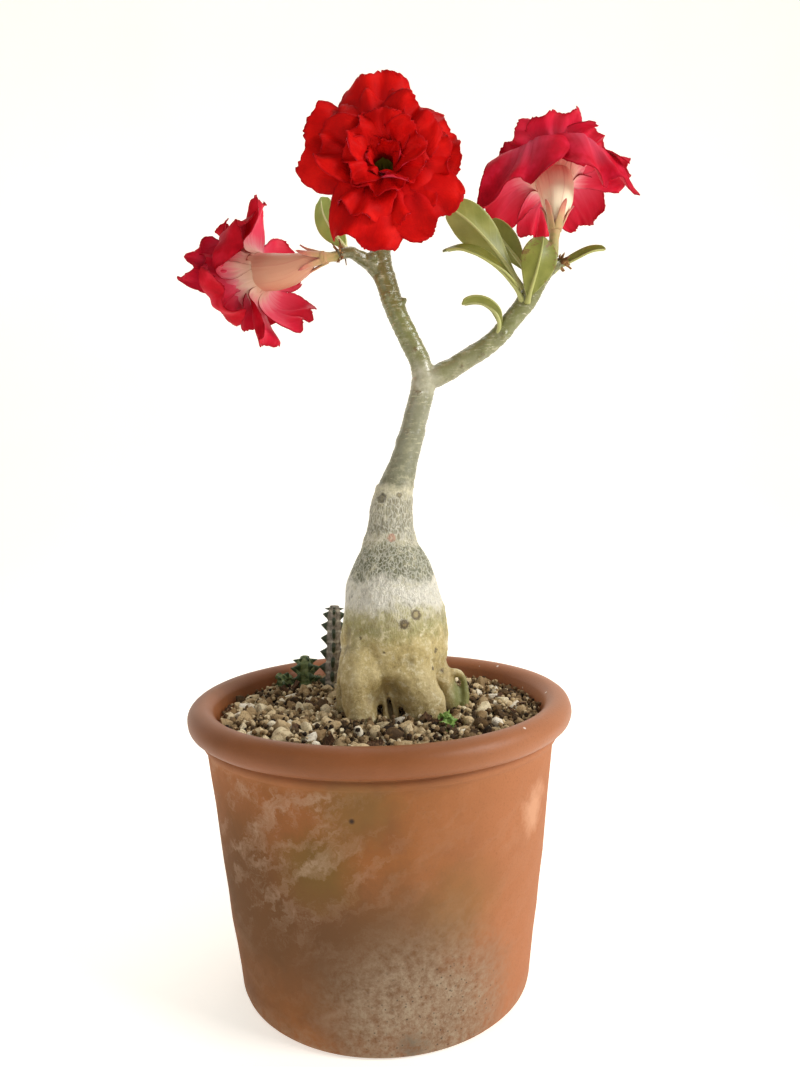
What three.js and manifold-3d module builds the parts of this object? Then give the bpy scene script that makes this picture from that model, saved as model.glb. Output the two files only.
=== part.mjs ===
// A double-flowered desert rose (Adenium obesum) in a terracotta pot: a swollen stem on thick roots, two
// branches, three ruffled blooms and seven leaves, with four small toothed succulents beside it in gravel.
// Millimetres, +Z up. The origin is the centre of the pot's foot, and the front bloom faces the -Y side.
import * as THREE from "three";
import { mergeVertices } from "three/addons/utils/BufferGeometryUtils.js";
import Module from "manifold-3d";

const wasm = await Module();
wasm.setup();

// Driving dimensions
const rimRadius = 100;
const potHeight = 150;
const rollRadius = 7.2; // of the rolled rim, in section
const wallTopRadius = 91;
const footRadius = 76;
const floorThickness = 9;
const drainRadius = 6;
const drainCircle = 32;
const soilTop = 129;
const gravelEdge = 136.8;
const gravelCrown = 138.4;
const stoneSpacing = 8; // between grid points; a stone is 1.7 times as wide
const seat = 0.3; // gap between two pieces that touch
const potSides = 40;

// Colours and finishes
const finish = (color, roughness) => new THREE.MeshStandardMaterial({ color, roughness, metalness: 0 });
const terracotta = finish("#b8683c", 0.85);
const pottingMix = finish("#4a3626", 0.95);
const pumice = finish("#b39c79", 0.95);
const bark = finish("#a9a57c", 0.7);
const leafGreen = finish("#7f8a3e", 0.5);
const petalRed = finish("#c3161a", 0.55);
const sepalPink = finish("#c98f62", 0.6);
const stamenGreen = finish("#8f8a2e", 0.6);
const succulentGreen = finish("#4f6340", 0.6);

const vec = (point) => new THREE.Vector3(...point);

// A seeded draw between 0 and 1, the same on each run.
function seeded(seed) {
  let state = seed;
  return () => {
    state = (Math.imul(state, 1664525) + 1013904223) >>> 0;
    return state / 4294967296;
  };
}

// A closed three.js geometry as a solid with its faces pointing out.
function solid(geometry) {
  const bare = geometry.clone();
  bare.deleteAttribute("normal");
  bare.deleteAttribute("uv");
  const merged = mergeVertices(bare, 1e-4);
  const made = new wasm.Manifold(
    new wasm.Mesh({
      numProp: 3,
      vertProperties: merged.attributes.position.array,
      triVerts: new Uint32Array(merged.index.array),
    }),
  );
  if (made.volume() <= 0) throw new Error("a shape is inside out");
  return made;
}

const join = (pieces) => pieces.reduce((all, piece) => all.add(piece));

// The largest body of a solid, so that a scrap left by a cut is dropped.
const largest = (made) => made.decompose().reduce((a, b) => (b.volume() > a.volume() ? b : a));

function named(name, made, material) {
  const mesh = largest(made).getMesh();
  const geometry = new THREE.BufferGeometry();
  geometry.setAttribute("position", new THREE.BufferAttribute(mesh.vertProperties, mesh.numProp));
  geometry.setIndex(new THREE.BufferAttribute(mesh.triVerts, 1));
  geometry.computeVertexNormals();
  const piece = new THREE.Mesh(geometry, material);
  piece.name = name;
  return piece;
}

// A turned solid: [radius, height] points from the axis, up the outside and back to the axis.
function turned(profile) {
  const points = profile.map(([radius, height]) => new THREE.Vector2(radius, height));
  return solid(new THREE.LatheGeometry(points, potSides).rotateX(Math.PI / 2));
}

// A tapered, bent limb: a capped cylinder whose rings follow a curve through [x, y, z, radius] points.
// grow widens and lengthens it, and lumps(angle, height, ring) scales each ring point's radius.
function limb(points, sides, steps, grow = 0, lumps = () => 1) {
  const curve = new THREE.CatmullRomCurve3(points.map(([x, y, z]) => vec([x, y, z])), false, "centripetal");
  const radii = points.map((point) => point[3]);
  const rings = [];
  let across = vec([0, 1, 0]);
  for (let step = 0; step <= steps; step++) {
    const share = step / steps;
    const along = curve.getTangent(share);
    if (step === 0 && Math.abs(along.y) > 0.8) across = vec([1, 0, 0]);
    across = across.clone().addScaledVector(along, -across.dot(along)).normalize();
    const place = share * (radii.length - 1);
    const from = Math.min(Math.floor(place), radii.length - 2);
    const radius = THREE.MathUtils.lerp(radii[from], radii[from + 1], place - from) + grow;
    const centre = curve.getPoint(share);
    if (step === 0) centre.addScaledVector(along, -grow);
    if (step === steps) centre.addScaledVector(along, grow);
    rings.push({ centre, across, side: across.clone().cross(along), radius });
  }
  const geometry = new THREE.CylinderGeometry(1, 1, 1, sides, steps);
  const place = geometry.attributes.position;
  for (let i = 0; i < place.count; i++) {
    const step = Math.round((place.getY(i) + 0.5) * steps);
    const ring = rings[step];
    const out = new THREE.Vector3()
      .addScaledVector(ring.side, -place.getX(i))
      .addScaledVector(ring.across, place.getZ(i));
    const scale = ring.radius * lumps(Math.atan2(-place.getX(i), place.getZ(i)), ring.centre.z, step);
    const spot = ring.centre.clone().addScaledVector(out, scale);
    place.setXYZ(i, spot.x, spot.y, spot.z);
  }
  return solid(geometry);
}

// A thin blade over a surface point(u, v), u from -1 to 1 across and v from 0 to 1 along, split into
// triangles alike on both faces, with a rim between them.
function blade(acrossCells, alongCells, point, thickness) {
  const plane = new THREE.PlaneGeometry(2, 1, acrossCells, alongCells);
  const flat = plane.attributes.position;
  const faces = plane.index.array;
  const count = flat.count;
  const spots = [];
  const reach = 0.01;
  for (const side of [1, -1]) {
    for (let i = 0; i < count; i++) {
      const [u, v] = [flat.getX(i), flat.getY(i) + 0.5];
      const alongU = point(u + reach, v).sub(point(u - reach, v));
      const alongV = point(u, v + reach).sub(point(u, v - reach));
      const normal = alongU.cross(alongV).normalize();
      const spot = point(u, v).addScaledVector(normal, (side * thickness(u, v)) / 2);
      spots.push(spot.x, spot.y, spot.z);
    }
  }
  const triangles = [...faces];
  for (let i = 0; i < faces.length; i += 3)
    triangles.push(faces[i] + count, faces[i + 2] + count, faces[i + 1] + count);
  const row = acrossCells + 1;
  const edge = [];
  for (let i = 0; i < acrossCells; i++) edge.push(i);
  for (let j = 0; j < alongCells; j++) edge.push(acrossCells + j * row);
  for (let i = acrossCells; i > 0; i--) edge.push(alongCells * row + i);
  for (let j = alongCells; j > 0; j--) edge.push(j * row);
  edge.forEach((a, k) => {
    const b = edge[(k + 1) % edge.length];
    triangles.push(a, b, b + count, a, b + count, a + count);
  });
  const geometry = new THREE.BufferGeometry();
  geometry.setAttribute("position", new THREE.Float32BufferAttribute(spots, 3));
  geometry.setIndex(triangles);
  return solid(geometry);
}

// A small faceted lump, such as a leaf scar.
function lump(centre, size) {
  return solid(new THREE.IcosahedronGeometry(1, 0).scale(...size).translate(...centre));
}

// A pointed tooth or spike with three sides, from a base point in a direction.
function tooth(base, direction, radius, length, sides = 3) {
  const cone = new THREE.ConeGeometry(radius, length, sides).translate(0, length / 2, 0);
  const turn = new THREE.Quaternion().setFromUnitVectors(vec([0, 1, 0]), vec(direction).normalize());
  return solid(cone.applyQuaternion(turn).translate(...base));
}

// Pot: a tapered wall with a rolled rim, a rounded foot edge and three drain holes round its floor's middle
const rollCentre = { radius: rimRadius - rollRadius, height: potHeight - rollRadius };
const mouthRadius = 86.3;
const innerProfile = [
  [mouthRadius, potHeight - 5],
  [71, 14],
  [66, floorThickness],
];

function potBody() {
  const rollAngles = [-70, -30, 10, 50, 90];
  const roll = rollAngles.map((angle) => [
    rollCentre.radius + rollRadius * Math.cos(THREE.MathUtils.degToRad(angle)),
    rollCentre.height + rollRadius * Math.sin(THREE.MathUtils.degToRad(angle)),
  ]);
  const body = turned([
    [0, 0],
    [footRadius - 3, 0],
    [footRadius - 0.6, 1],
    [footRadius + 0.4, 4],
    [81.2, 40],
    [86.2, 85],
    [wallTopRadius, 132],
    ...roll,
    [mouthRadius + 1.4, potHeight - 1],
    ...innerProfile,
    [0, floorThickness],
  ]);
  const drains = [90, 210, 330].map((angle) => {
    const turn = THREE.MathUtils.degToRad(angle);
    const spot = [drainCircle * Math.cos(turn), drainCircle * Math.sin(turn), floorThickness / 2];
    const drill = new THREE.CylinderGeometry(drainRadius, drainRadius, floorThickness * 2, 16);
    return solid(drill.rotateX(Math.PI / 2).translate(...spot));
  });
  return drains.reduce((pot, drain) => pot.subtract(drain), body);
}

// The pot's inner radius at a height, a seat's width in from the wall
function bedRadius(height) {
  const rows = [...innerProfile].reverse();
  const next = Math.max(1, rows.findIndex((row) => row[1] >= height));
  const [low, high] = [rows[next - 1], rows[next]];
  return THREE.MathUtils.mapLinear(height, low[1], high[1], low[0], high[0]) - seat;
}

// Plant: [x, y, z, radius] points of its grown-together limbs
const caudexLine = [
  [9, 0, 151, 18],
  [9, 0, 158, 25],
  [8.9, 0, 169, 28],
  [8.7, 0, 181, 27.7],
  [8.4, 0, 194.5, 26.2],
  [8, 0, 206, 24],
  [7.8, 0, 215.5, 21.4],
  [7.6, 0, 222.5, 18.2],
  [7.4, 0, 229.5, 14.2],
  [7.7, 0, 238, 11.8],
  [8.4, 0, 246, 11.2],
  [9.8, 0, 254, 10],
  [11.9, 0, 261.5, 8.4],
  [14.2, 0, 267.5, 7.8],
];
const trunkLine = [
  [13.6, 0, 265, 7.8],
  [17.4, 0, 277.5, 7],
  [21, 0, 289.5, 6.5],
  [24, 0, 300.5, 6.2],
  [26.6, 0, 311, 6.3],
  [27.6, 0, 316.5, 6],
];
const leftBranchLine = [
  [27.4, 0, 314, 6],
  [24.6, 0, 325, 5.6],
  [20.4, 0, 334, 5.4],
  [13.4, 1, 350.1, 5.5],
  [8.1, 3, 367.6, 5.6],
  [6.2, 5, 377, 5.8],
  [6.2, 9, 389, 5.2],
  [7, 11, 398, 4],
];
const rightBranchLine = [
  [27.5, 0, 313.5, 5.4],
  [37.2, 0, 317.5, 5.8],
  [44.5, -1, 321.3, 5.3],
  [55.4, -3, 327.5, 5.1],
  [65.6, -5, 334.9, 5],
  [71.6, -7, 341.8, 4.8],
  [77.5, -8, 348.6, 4.9],
  [81.3, -9, 353.8, 5.1],
  [84.9, -10, 360.5, 4.9],
  [89.6, -10, 367, 4.2],
  [93.2, -9.5, 373.4, 3.2],
];
const leftShootLine = [
  [5.6, 4, 371, 4.6],
  [-0.6, 0, 374.9, 4],
  [-4.9, -3, 377, 3.5],
  [-9.3, -5, 378.5, 3],
  [-14.2, -6, 377.7, 2.9],
  [-17, -6, 376.8, 2.3],
];
const rightShootLine = [
  [88.5, -10, 365.5, 3.4],
  [95, -9, 369.4, 3],
  [99.5, -9, 372.4, 2.2],
];
const rootLines = [
  // the two thick legs in front
  [[4, -3, 184, 17], [-2.5, -9, 172, 17], [-7.5, -15.5, 162, 13], [-10, -20, 153, 9.4],
    [-9.3, -22.5, 145.5, 8.4], [-9, -24.5, 139, 6.4], [-10, -28, 128, 4], [-14, -33, 112, 2]],
  [[12, -3, 186, 18], [13, -9, 174, 17.6], [15.5, -14.5, 163.5, 13.8], [18, -18, 155, 10.9],
    [21, -20.5, 147, 10.7], [23.2, -22.5, 140, 8.8], [26, -26, 128, 5], [30, -30, 110, 2.4]],
  // the thin roots in the hollow between them
  [[1, -10, 160, 5], [-0.2, -12.5, 152, 3.6], [1.8, -13.5, 145, 3.2], [3, -14, 134, 2.6],
    [3.5, -15, 122, 1.4]],
  [[5.5, -8, 160, 6], [6.2, -11, 151, 4.2], [6.8, -13, 143, 3.4], [7.5, -14, 132, 2.6], [8, -15, 120, 1.4]],
  // the slim root at the left, then the two at the back
  [[-6, -2, 176, 13], [-13, -3.5, 163, 9.5], [-18, -5, 152, 5.4], [-19.8, -6.5, 144, 3.9],
    [-21.6, -7.5, 136, 3], [-25, -9, 122, 1.6]],
  [[3, 5, 184, 18], [-4, 13, 168, 15], [-9, 19, 154, 10.6], [-12.5, 23, 142, 8], [-15, 26, 132, 5.4],
    [-19, 32, 112, 2.4]],
  [[14, 4, 184, 18], [20, 11, 168, 14.6], [24.5, 16.5, 154, 10.4], [27.5, 20.5, 142, 7.6], [30, 24, 132, 5.2],
    [33, 30, 112, 2.4]],
  // the knuckled root that curls down at the right
  [[17, -2, 178, 14], [25, -3, 167, 10.5], [31.6, -4.5, 158, 6.6], [36, -6, 151.5, 5.6], [37, -7, 144.5, 4.8],
    [35.4, -7, 134, 3.2], [34, -6, 122, 1.6]],
];
// The green root that springs from the stem's side and loops down into the gravel
const loopRootLine = [
  [31.5, -2, 158.5, 2.6],
  [36.1, -5, 159.6, 2.5],
  [40, -6.5, 160.2, 2.3],
  [43.2, -7, 158, 2.2],
  [44.7, -7, 153, 2.2],
  [44.6, -7, 147.5, 2.3],
  [43.3, -7, 141.5, 2.3],
  [42, -7, 130, 1.4],
];
// Scars left by fallen leaves and flower stalks: [centre, size]
const scars = [
  [[24, -5.6, 306.4], [2.4, 1.8, 2]],
  [[18.2, -5.8, 286.2], [2.2, 1.6, 1.7]],
  [[22.4, -4.8, 329], [2.4, 1.7, 1.9]],
  [[17.4, -1.4, 355], [2, 2, 2]],
  [[9.6, -2.8, 358], [2.4, 2, 2]],
  [[46.6, -5, 320.4], [2.2, 1.8, 1.9]],
  [[57, -6.8, 326], [2.4, 1.9, 2.1]],
  [[68, -10, 335.2], [2.2, 1.8, 2.1]],
  [[1.8, -3.4, 377], [3, 2.6, 2.9]],
  [[13, -24.8, 190.6], [3, 2.6, 2.6]],
  [[3, -9.4, 252], [3, 2.2, 2.4]],
];
// Dry bracts at the shoot tips: [base, direction]
const bracts = [
  [[-14.6, -7, 379.4], [-0.2, -0.2, 1]],
  [[-12.4, -6, 380], [0.35, 0.1, 1]],
  [[-15.4, -7.4, 375.6], [0.1, -0.5, -1]],
  [[-12, -7, 376.4], [0.3, -0.4, -1]],
  [[99, -9, 373], [0.4, -0.2, 1]],
  [[100.4, -9.4, 372.6], [1, -0.3, 0.7]],
  [[97.6, -10, 372.6], [-0.2, -0.5, 1]],
];

// The stem's outline swells over each root and sinks between them, more towards the ground.
function caudexLumps(angle, height) {
  const towardsGround = THREE.MathUtils.clamp((215 - height) / 60, 0, 1);
  const folds = 0.035 * Math.cos(4 * angle + 0.9) + 0.02 * Math.sin(7 * angle + 1.7);
  const rings = 0.012 * Math.sin(height * 0.45);
  return 1 + towardsGround * folds + rings;
}

function plantBody(grow) {
  const limbs = [
    limb(caudexLine, 18, 15, grow, caudexLumps),
    limb(trunkLine, 10, 5, grow),
    limb(leftBranchLine, 9, 9, grow),
    limb(rightBranchLine, 9, 11, grow),
    limb(leftShootLine, 7, 5, grow),
    limb(rightShootLine, 6, 2, grow),
    limb(loopRootLine, 6, 10, grow),
    ...rootLines.map((line) => limb(line, 8, 5, grow)),
  ];
  const bumps = scars.map(([centre, size]) => lump(centre, size.map((value) => value + grow)));
  const scales = bracts.map(([base, direction]) => tooth(base, direction, 1.1 + grow, 5 + grow));
  return join([...limbs, ...bumps, ...scales]);
}

// Leaves: a spine from base to tip, the way the upper face looks, the half width and the fold at the midrib
const leaves = {
  leaf_long: {
    spine: [[80.4, -7.4, 355.6], [69.1, -7, 372.4], [59.8, -10, 382.6], [49.2, -12, 392.6], [40, -12, 399]],
    face: [-0.35, 0.75, 0.55], halfWidth: 10.5, fold: 28,
  },
  leaf_behind: {
    spine: [[85.6, -7.4, 361.6], [77.6, 2.4, 376.5], [70.5, 5, 387], [62.8, 7, 397.4]],
    face: [0.35, 0.8, 0.5], halfWidth: 7.5, fold: 20,
  },
  leaf_low: {
    spine: [[77.4, -11, 351.6], [73, -14.5, 358.6], [65, -17, 366.5], [54.5, -17, 373.5],
      [45.9, -16, 376.5], [37, -14, 376]],
    face: [-0.45, -0.3, 0.85], halfWidth: 7, fold: 16,
  },
  leaf_front: {
    spine: [[79.6, -12.5, 350.6], [80.6, -17, 355.5], [83.2, -19.6, 364.4], [85.4, -20, 373],
      [87.4, -17, 381.4]],
    face: [-0.12, 0.97, -0.2], halfWidth: 9.4, fold: 14,
  },
  leaf_small: {
    spine: [[64.4, -7, 334.6], [65.6, -11, 340], [63.4, -13, 345.6], [58, -13, 349.8],
      [52.6, -12, 351.2], [46.4, -11, 350.4]],
    face: [0.15, 0.35, 0.92], halfWidth: 4.6, fold: 30,
  },
  leaf_right: {
    spine: [[93.6, -9, 367], [99, -8, 370.2], [106, -8, 373.4], [113.9, -9, 376.6], [121, -9, 377.4]],
    face: [-0.3, -0.55, 0.8], halfWidth: 4.8, fold: 22,
  },
  leaf_left: {
    spine: [[-10.6, -3, 379.6], [-13.5, -1, 384.5], [-18.6, 3, 392.6], [-23, 7, 402], [-24.4, 11, 412]],
    face: [0.55, 0.6, -0.3], halfWidth: 7.6, fold: 14,
  },
};

// Half width along a leaf, as a share: a slim stalk, widest at two thirds, with a blunt tip
function leafOutline(v) {
  const swell = Math.sin(Math.PI * Math.min(0.5, 0.5 * Math.pow(Math.max(0, v) / 0.66, 1.5)));
  const tip = v > 0.66 ? Math.sqrt(Math.max(0.02, 1 - 0.93 * Math.pow((v - 0.66) / 0.34, 2))) : 1;
  return Math.max(0.14, swell * tip);
}

function leafBlade({ spine, face, halfWidth, fold }) {
  const curve = new THREE.CatmullRomCurve3(spine.map(vec), false, "centripetal");
  const [flat, raised] = [Math.cos(THREE.MathUtils.degToRad(fold)), Math.sin(THREE.MathUtils.degToRad(fold))];
  const point = (u, v) => {
    const along = THREE.MathUtils.clamp(v * (1 - 0.05 * u * u * v), 0, 1);
    const tangent = curve.getTangent(along);
    const side = tangent.clone().cross(vec(face)).normalize();
    const up = side.clone().cross(tangent);
    const reach = halfWidth * leafOutline(along);
    const wave = 0.05 * halfWidth * Math.sin(9 * v + 2 * u) * u * u;
    return curve
      .getPoint(along)
      .addScaledVector(side, u * reach * flat)
      .addScaledVector(up, Math.abs(u) * reach * raised + wave)
      .addScaledVector(tangent, (v - along) * 0.001);
  };
  return blade(4, 7, point, (u) => (Math.abs(u) < 0.1 ? 1.7 : 0.8));
}

// Blooms. A skirt of petals is set one by one, as [azimuth, length, half width, lean at foot and tip, where
// along it the petal bends, curl of its two margins, how far its tip swings round], in millimetres and
// degrees. Three whorls stand inside it, and openness scales how far they lean out. The azimuth runs from the
// bloom's side towards its top, and a lean is measured from the bloom's axis.
const whorls = [
  {
    count: 6, length: 33, halfWidth: 16, foot: [7.8, -3], rise: [22, 92], bend: [0, 0.8],
    curl: -14, ruffle: 5.4, waves: 5,
  },
  {
    count: 6, length: 27, halfWidth: 12.5, foot: [6.6, -2.5], rise: [6, 72], bend: [0.1, 0.9],
    curl: 10, ruffle: 4.8, waves: 5,
  },
  {
    count: 4, length: 17, halfWidth: 8, foot: [5.2, -3], rise: [0, 50], bend: [0.2, 1],
    curl: 30, ruffle: 3, waves: 3,
  },
];
const skirt = { foot: [9.4, -4], ruffle: 4.6, waves: 5 };
const blooms = {
  front: {
    size: 0.96,
    openness: 1,
    throat: [8, -41, 407.5],
    axis: [-0.02, -0.99, 0.05],
    turn: 52,
    skirt: [
      [94, 43, 20, [24, 98], [0, 0.6], [-20, -30]],
      [22, 37, 20, [24, 96], [0, 0.6], [-20, -20]],
      [-46, 42, 20, [24, 94], [0, 0.6], [-30, -20]],
      [-108, 44, 20, [24, 96], [0, 0.6], [-20, -30]],
      [164, 40, 22, [24, 92], [0, 0.6], [-30, -20]],
    ],
    tube: [[8.2, 2, 404, 2.3], [8.3, -2.6, 405.2, 2.7], [8.3, -9, 406.5, 5.4], [8.2, -18, 407.3, 7.8],
      [8, -29, 407.4, 9], [8, -37, 407.5, 9.5], [8, -40.2, 407.5, 10.8]],
    stalk: [[7.2, 10.6, 398, 3], [7.8, 6.4, 402.4, 2.6], [8.1, 2.6, 403.8, 3]],
  },
  left: {
    size: 0.88,
    openness: 0.86,
    throat: [-59.4, 11.6, 373.6],
    axis: [-0.84, 0.53, -0.08],
    turn: 8,
    skirt: [
      [88, 41, 15, [30, 116], [0, 0.45], [-110, 20]],
      [44, 51, 24, [24, 176], [0.15, 0.65], [-30, -40]],
      [6, 44, 16, [20, 96], [0.1, 1], [10, -60]],
      [322, 56, 21, [24, 170], [0.25, 0.75], [-30, -30]],
      [270, 43, 14, [24, 98], [0, 0.4], [20, -110]],
      [228, 48, 15, [24, 150], [0, 0.5], [-20, -20]],
      [160, 43, 17, [24, 112], [0, 0.6], [-30, -30]],
    ],
    tube: [[-23.6, -8, 375.4, 2.3], [-28, -7, 375.2, 3], [-33.6, -4.4, 373.6, 5.8], [-40.4, 0, 372.2, 8],
      [-49, 5.4, 372.4, 9.4], [-56, 9.6, 373.3, 9.7], [-59, 11.4, 373.6, 10.9]],
    stalk: [[-15.8, -6, 376.8, 2.6], [-19.4, -7.2, 376, 2.4], [-22.8, -8, 375.4, 3]],
  },
  right: {
    size: 0.94,
    openness: 0.9,
    throat: [99.4, 13, 422],
    axis: [0.02, 0.53, 0.85],
    turn: 30,
    skirt: [
      [60, 64, 25, [20, 190], [0.04, 0.54], [-20, -20], -24],
      [118, 64, 25, [20, 190], [0.04, 0.54], [-20, -20], 22],
      [178, 45, 16, [24, 118], [0, 0.7], [-30, -60]],
      [232, 47, 16, [24, 128], [0, 0.7], [-30, -70]],
      [276, 45, 14, [24, 128], [0, 0.6], [-20, -20]],
      [322, 47, 17, [24, 124], [0, 0.7], [-50, -20]],
    ],
    tube: [[95.6, -7.4, 389.6, 2.3], [95.9, -7.2, 392.6, 2.9], [96.8, -5.6, 398.4, 6], [98.2, -1.2, 405, 8.2],
      [99.2, 5.2, 413.4, 9.3], [99.3, 10.6, 419.2, 9.5], [99.4, 12.6, 421.6, 10.8]],
    stalk: [[93.4, -9.6, 374, 3], [94.6, -8.6, 382.6, 2.5], [95.4, -7.7, 388.2, 3.1]],
  },
};

// Out, up and lean in equal steps along a petal's midline, which bends from one lean to the other
function petalSpine([out, up], length, rise, bend) {
  const spine = [];
  for (let k = 0; k < 25; k++) {
    const share = THREE.MathUtils.smoothstep(k / 24, ...bend);
    const lean = THREE.MathUtils.degToRad(THREE.MathUtils.lerp(...rise, share));
    spine.push([out, up, lean]);
    out += (length / 24) * Math.sin(lean);
    up += (length / 24) * Math.cos(lean);
  }
  return spine;
}

// A petal's half width along it, as a share: a broad claw, widest past the middle, with a rounded end
function petalOutline(s) {
  const spread = 0.4 + 0.6 * Math.sin((Math.PI / 2) * Math.min(1, s / 0.6));
  const end = s > 0.6 ? Math.sqrt(Math.max(0.1, 1 - 0.86 * Math.pow((s - 0.6) / 0.4, 2))) : 1;
  return spread * end;
}

// A point on a petal in its bloom's own frame, with the bloom's axis along +Z
function petalPoint(petal, u, v) {
  const round = Math.atan2(u, v - 0.3);
  const lobe = 0.04 * Math.sin(0.8 * petal.waves * round + 1.7 * petal.phase);
  const s = v * (1 - (0.12 - lobe) * Math.pow(Math.max(Math.abs(u), v), 3) * v);
  const place = THREE.MathUtils.clamp(s, 0, 1) * 24;
  const k = Math.min(Math.floor(place), 23);
  const [before, after] = [petal.spine[k], petal.spine[k + 1]];
  const [out, up, lean] = before.map((value, i) => THREE.MathUtils.lerp(value, after[i], place - k));
  const width = petal.halfWidth * petalOutline(s);
  const curl = THREE.MathUtils.degToRad(petal.curl[u < 0 ? 0 : 1]) * THREE.MathUtils.smoothstep(s, 0.05, 0.7);
  const bent = curl * Math.abs(u);
  const curled = Math.abs(curl) > 0.02;
  const margin = Math.pow(Math.max(0, v), 1.4) * (0.25 + 0.75 * Math.pow(Math.abs(u), 1.5));
  const wave = petal.ruffle * margin * Math.sin(petal.waves * round + petal.phase);
  const reach = (curled ? (width * Math.sin(bent)) / curl : width * Math.abs(u)) - wave * Math.sin(bent);
  const off = (curled ? (width * (1 - Math.cos(bent))) / curl : 0) + wave * Math.cos(bent);
  const side = u < 0 ? -reach : reach;
  const hug = Math.max(0, 1 - s);
  const angle = petal.azimuth + (hug * side) / out;
  const far = out - off * Math.cos(lean);
  const beside = side * (1 - hug) + petal.swing * s * s;
  return new THREE.Vector3(
    far * Math.cos(angle) - beside * Math.sin(angle),
    far * Math.sin(angle) + beside * Math.cos(angle),
    up + off * Math.sin(lean),
  );
}

// The petals of one bloom, no two alike
function petalsOf(bloom, seed) {
  const draw = seeded(seed);
  const rows = bloom.skirt.map(([azimuth, length, halfWidth, rise, bend, curl, swing = 0]) => {
    return { azimuth, length, halfWidth, rise, bend, curl, swing, kind: skirt, layer: 0 };
  });
  whorls.forEach((whorl, layer) => {
    for (let k = 0; k < whorl.count; k++) {
      const azimuth = bloom.turn + (360 / whorl.count) * (k + layer / 2) + 16 * (draw() - 0.5);
      const rise = [whorl.rise[0], whorl.rise[1] * bloom.openness + 24 * (draw() - 0.5)];
      const curl = [0, 1].map(() => whorl.curl + 50 * (draw() - 0.5));
      rows.push({ ...whorl, azimuth, rise, curl, swing: 0, kind: whorl, layer: layer + 1 });
    }
  });
  return rows.map((row) => {
    const length = row.length * bloom.size * (0.95 + 0.1 * draw());
    const halfWidth = row.halfWidth * bloom.size * (0.95 + 0.1 * draw());
    const waves = row.kind.waves + Math.floor(2 * draw());
    const phase = 6.28 * draw();
    const spine = petalSpine(row.kind.foot, length, row.rise, row.bend);
    const azimuth = THREE.MathUtils.degToRad(row.azimuth);
    return { ...row, azimuth, halfWidth, ruffle: row.kind.ruffle, waves, phase, spine };
  });
}

// Turns a bloom's own frame, with +Z along its axis, into the plant's.
function bloomFrame({ throat, axis }) {
  const along = vec(axis).normalize();
  const across = Math.abs(along.z) > 0.95 ? vec([1, 0, 0]) : vec([0, 0, 1]);
  const side = across.clone().cross(along).normalize();
  const up = along.clone().cross(side);
  return new THREE.Matrix4().makeBasis(side, up, along).setPosition(...throat);
}

const petalCells = [[3, 3], [2, 2], [2, 2]]; // across and along, from the skirt inwards
const throatHollow = { depth: 20, foot: 2.6, mouth: 6.6 };
const tubeSteps = 6;

// The solid bloom has its skirt, the outer whorl and every second petal of the next.
const isModelled = ({ layer }, index) => layer < 2 || (layer === 2 && index % 2 === 0);

function corolla(bloom, seed) {
  const frame = bloomFrame(bloom);
  const { depth, foot, mouth } = throatHollow;
  const hollow = new THREE.CylinderGeometry(mouth, foot, depth + 4, 10).rotateX(Math.PI / 2);
  const bore = solid(hollow.translate(0, 0, (4 - depth) / 2).applyMatrix4(frame));
  const petals = petalsOf(bloom, seed).filter(isModelled).map((petal) => {
    const [across, along] = petalCells[petal.layer];
    return blade(across, along, (u, v) => petalPoint(petal, u, v).applyMatrix4(frame), () => 0.8);
  });
  return join([limb(bloom.tube, 10, tubeSteps).subtract(bore), ...petals]);
}

// Stamens: a slim pointed cone standing in the throat's hollow
function stamens(bloom) {
  const length = 12;
  const cone = new THREE.ConeGeometry(1.9, length, 8).rotateX(Math.PI / 2);
  const lift = length / 2 - throatHollow.depth + seat;
  return solid(cone.translate(0, 0, lift).applyMatrix4(bloomFrame(bloom)));
}

// Calyx: a short stalk that ends in a cup round the foot of the tube, with five pointed sepals
function calyx(bloom) {
  const cup = [[0, -2.4], [2.2, -2.4], [3.7, 1], [8.4, 10.4], [7.7, 10.7], [3.1, 1], [2.8, -seat],
    [0, -seat]];
  const lathe = new THREE.LatheGeometry(cup.map(([radius, height]) => new THREE.Vector2(radius, height)), 10);
  const place = lathe.attributes.position;
  for (let i = 0; i < place.count; i++) {
    const notch = Math.floor(i / cup.length) % 2 === 1;
    if (!notch || place.getY(i) < 10) continue;
    const turn = Math.atan2(place.getZ(i), place.getX(i));
    const radius = Math.hypot(place.getX(i), place.getZ(i)) > 7.4 ? 3.9 : 3.3;
    place.setXYZ(i, radius * Math.cos(turn), 1.6, radius * Math.sin(turn));
  }
  const foot = vec(bloom.tube[0]);
  const along = vec(bloom.tube[1]).sub(foot).normalize();
  const turn = new THREE.Quaternion().setFromUnitVectors(vec([0, 1, 0]), along);
  const crown = solid(lathe.applyQuaternion(turn).translate(...foot));
  return join([limb(bloom.stalk, 8, 2), crown]).subtract(limb(bloom.tube, 10, tubeSteps, seat));
}

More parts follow.
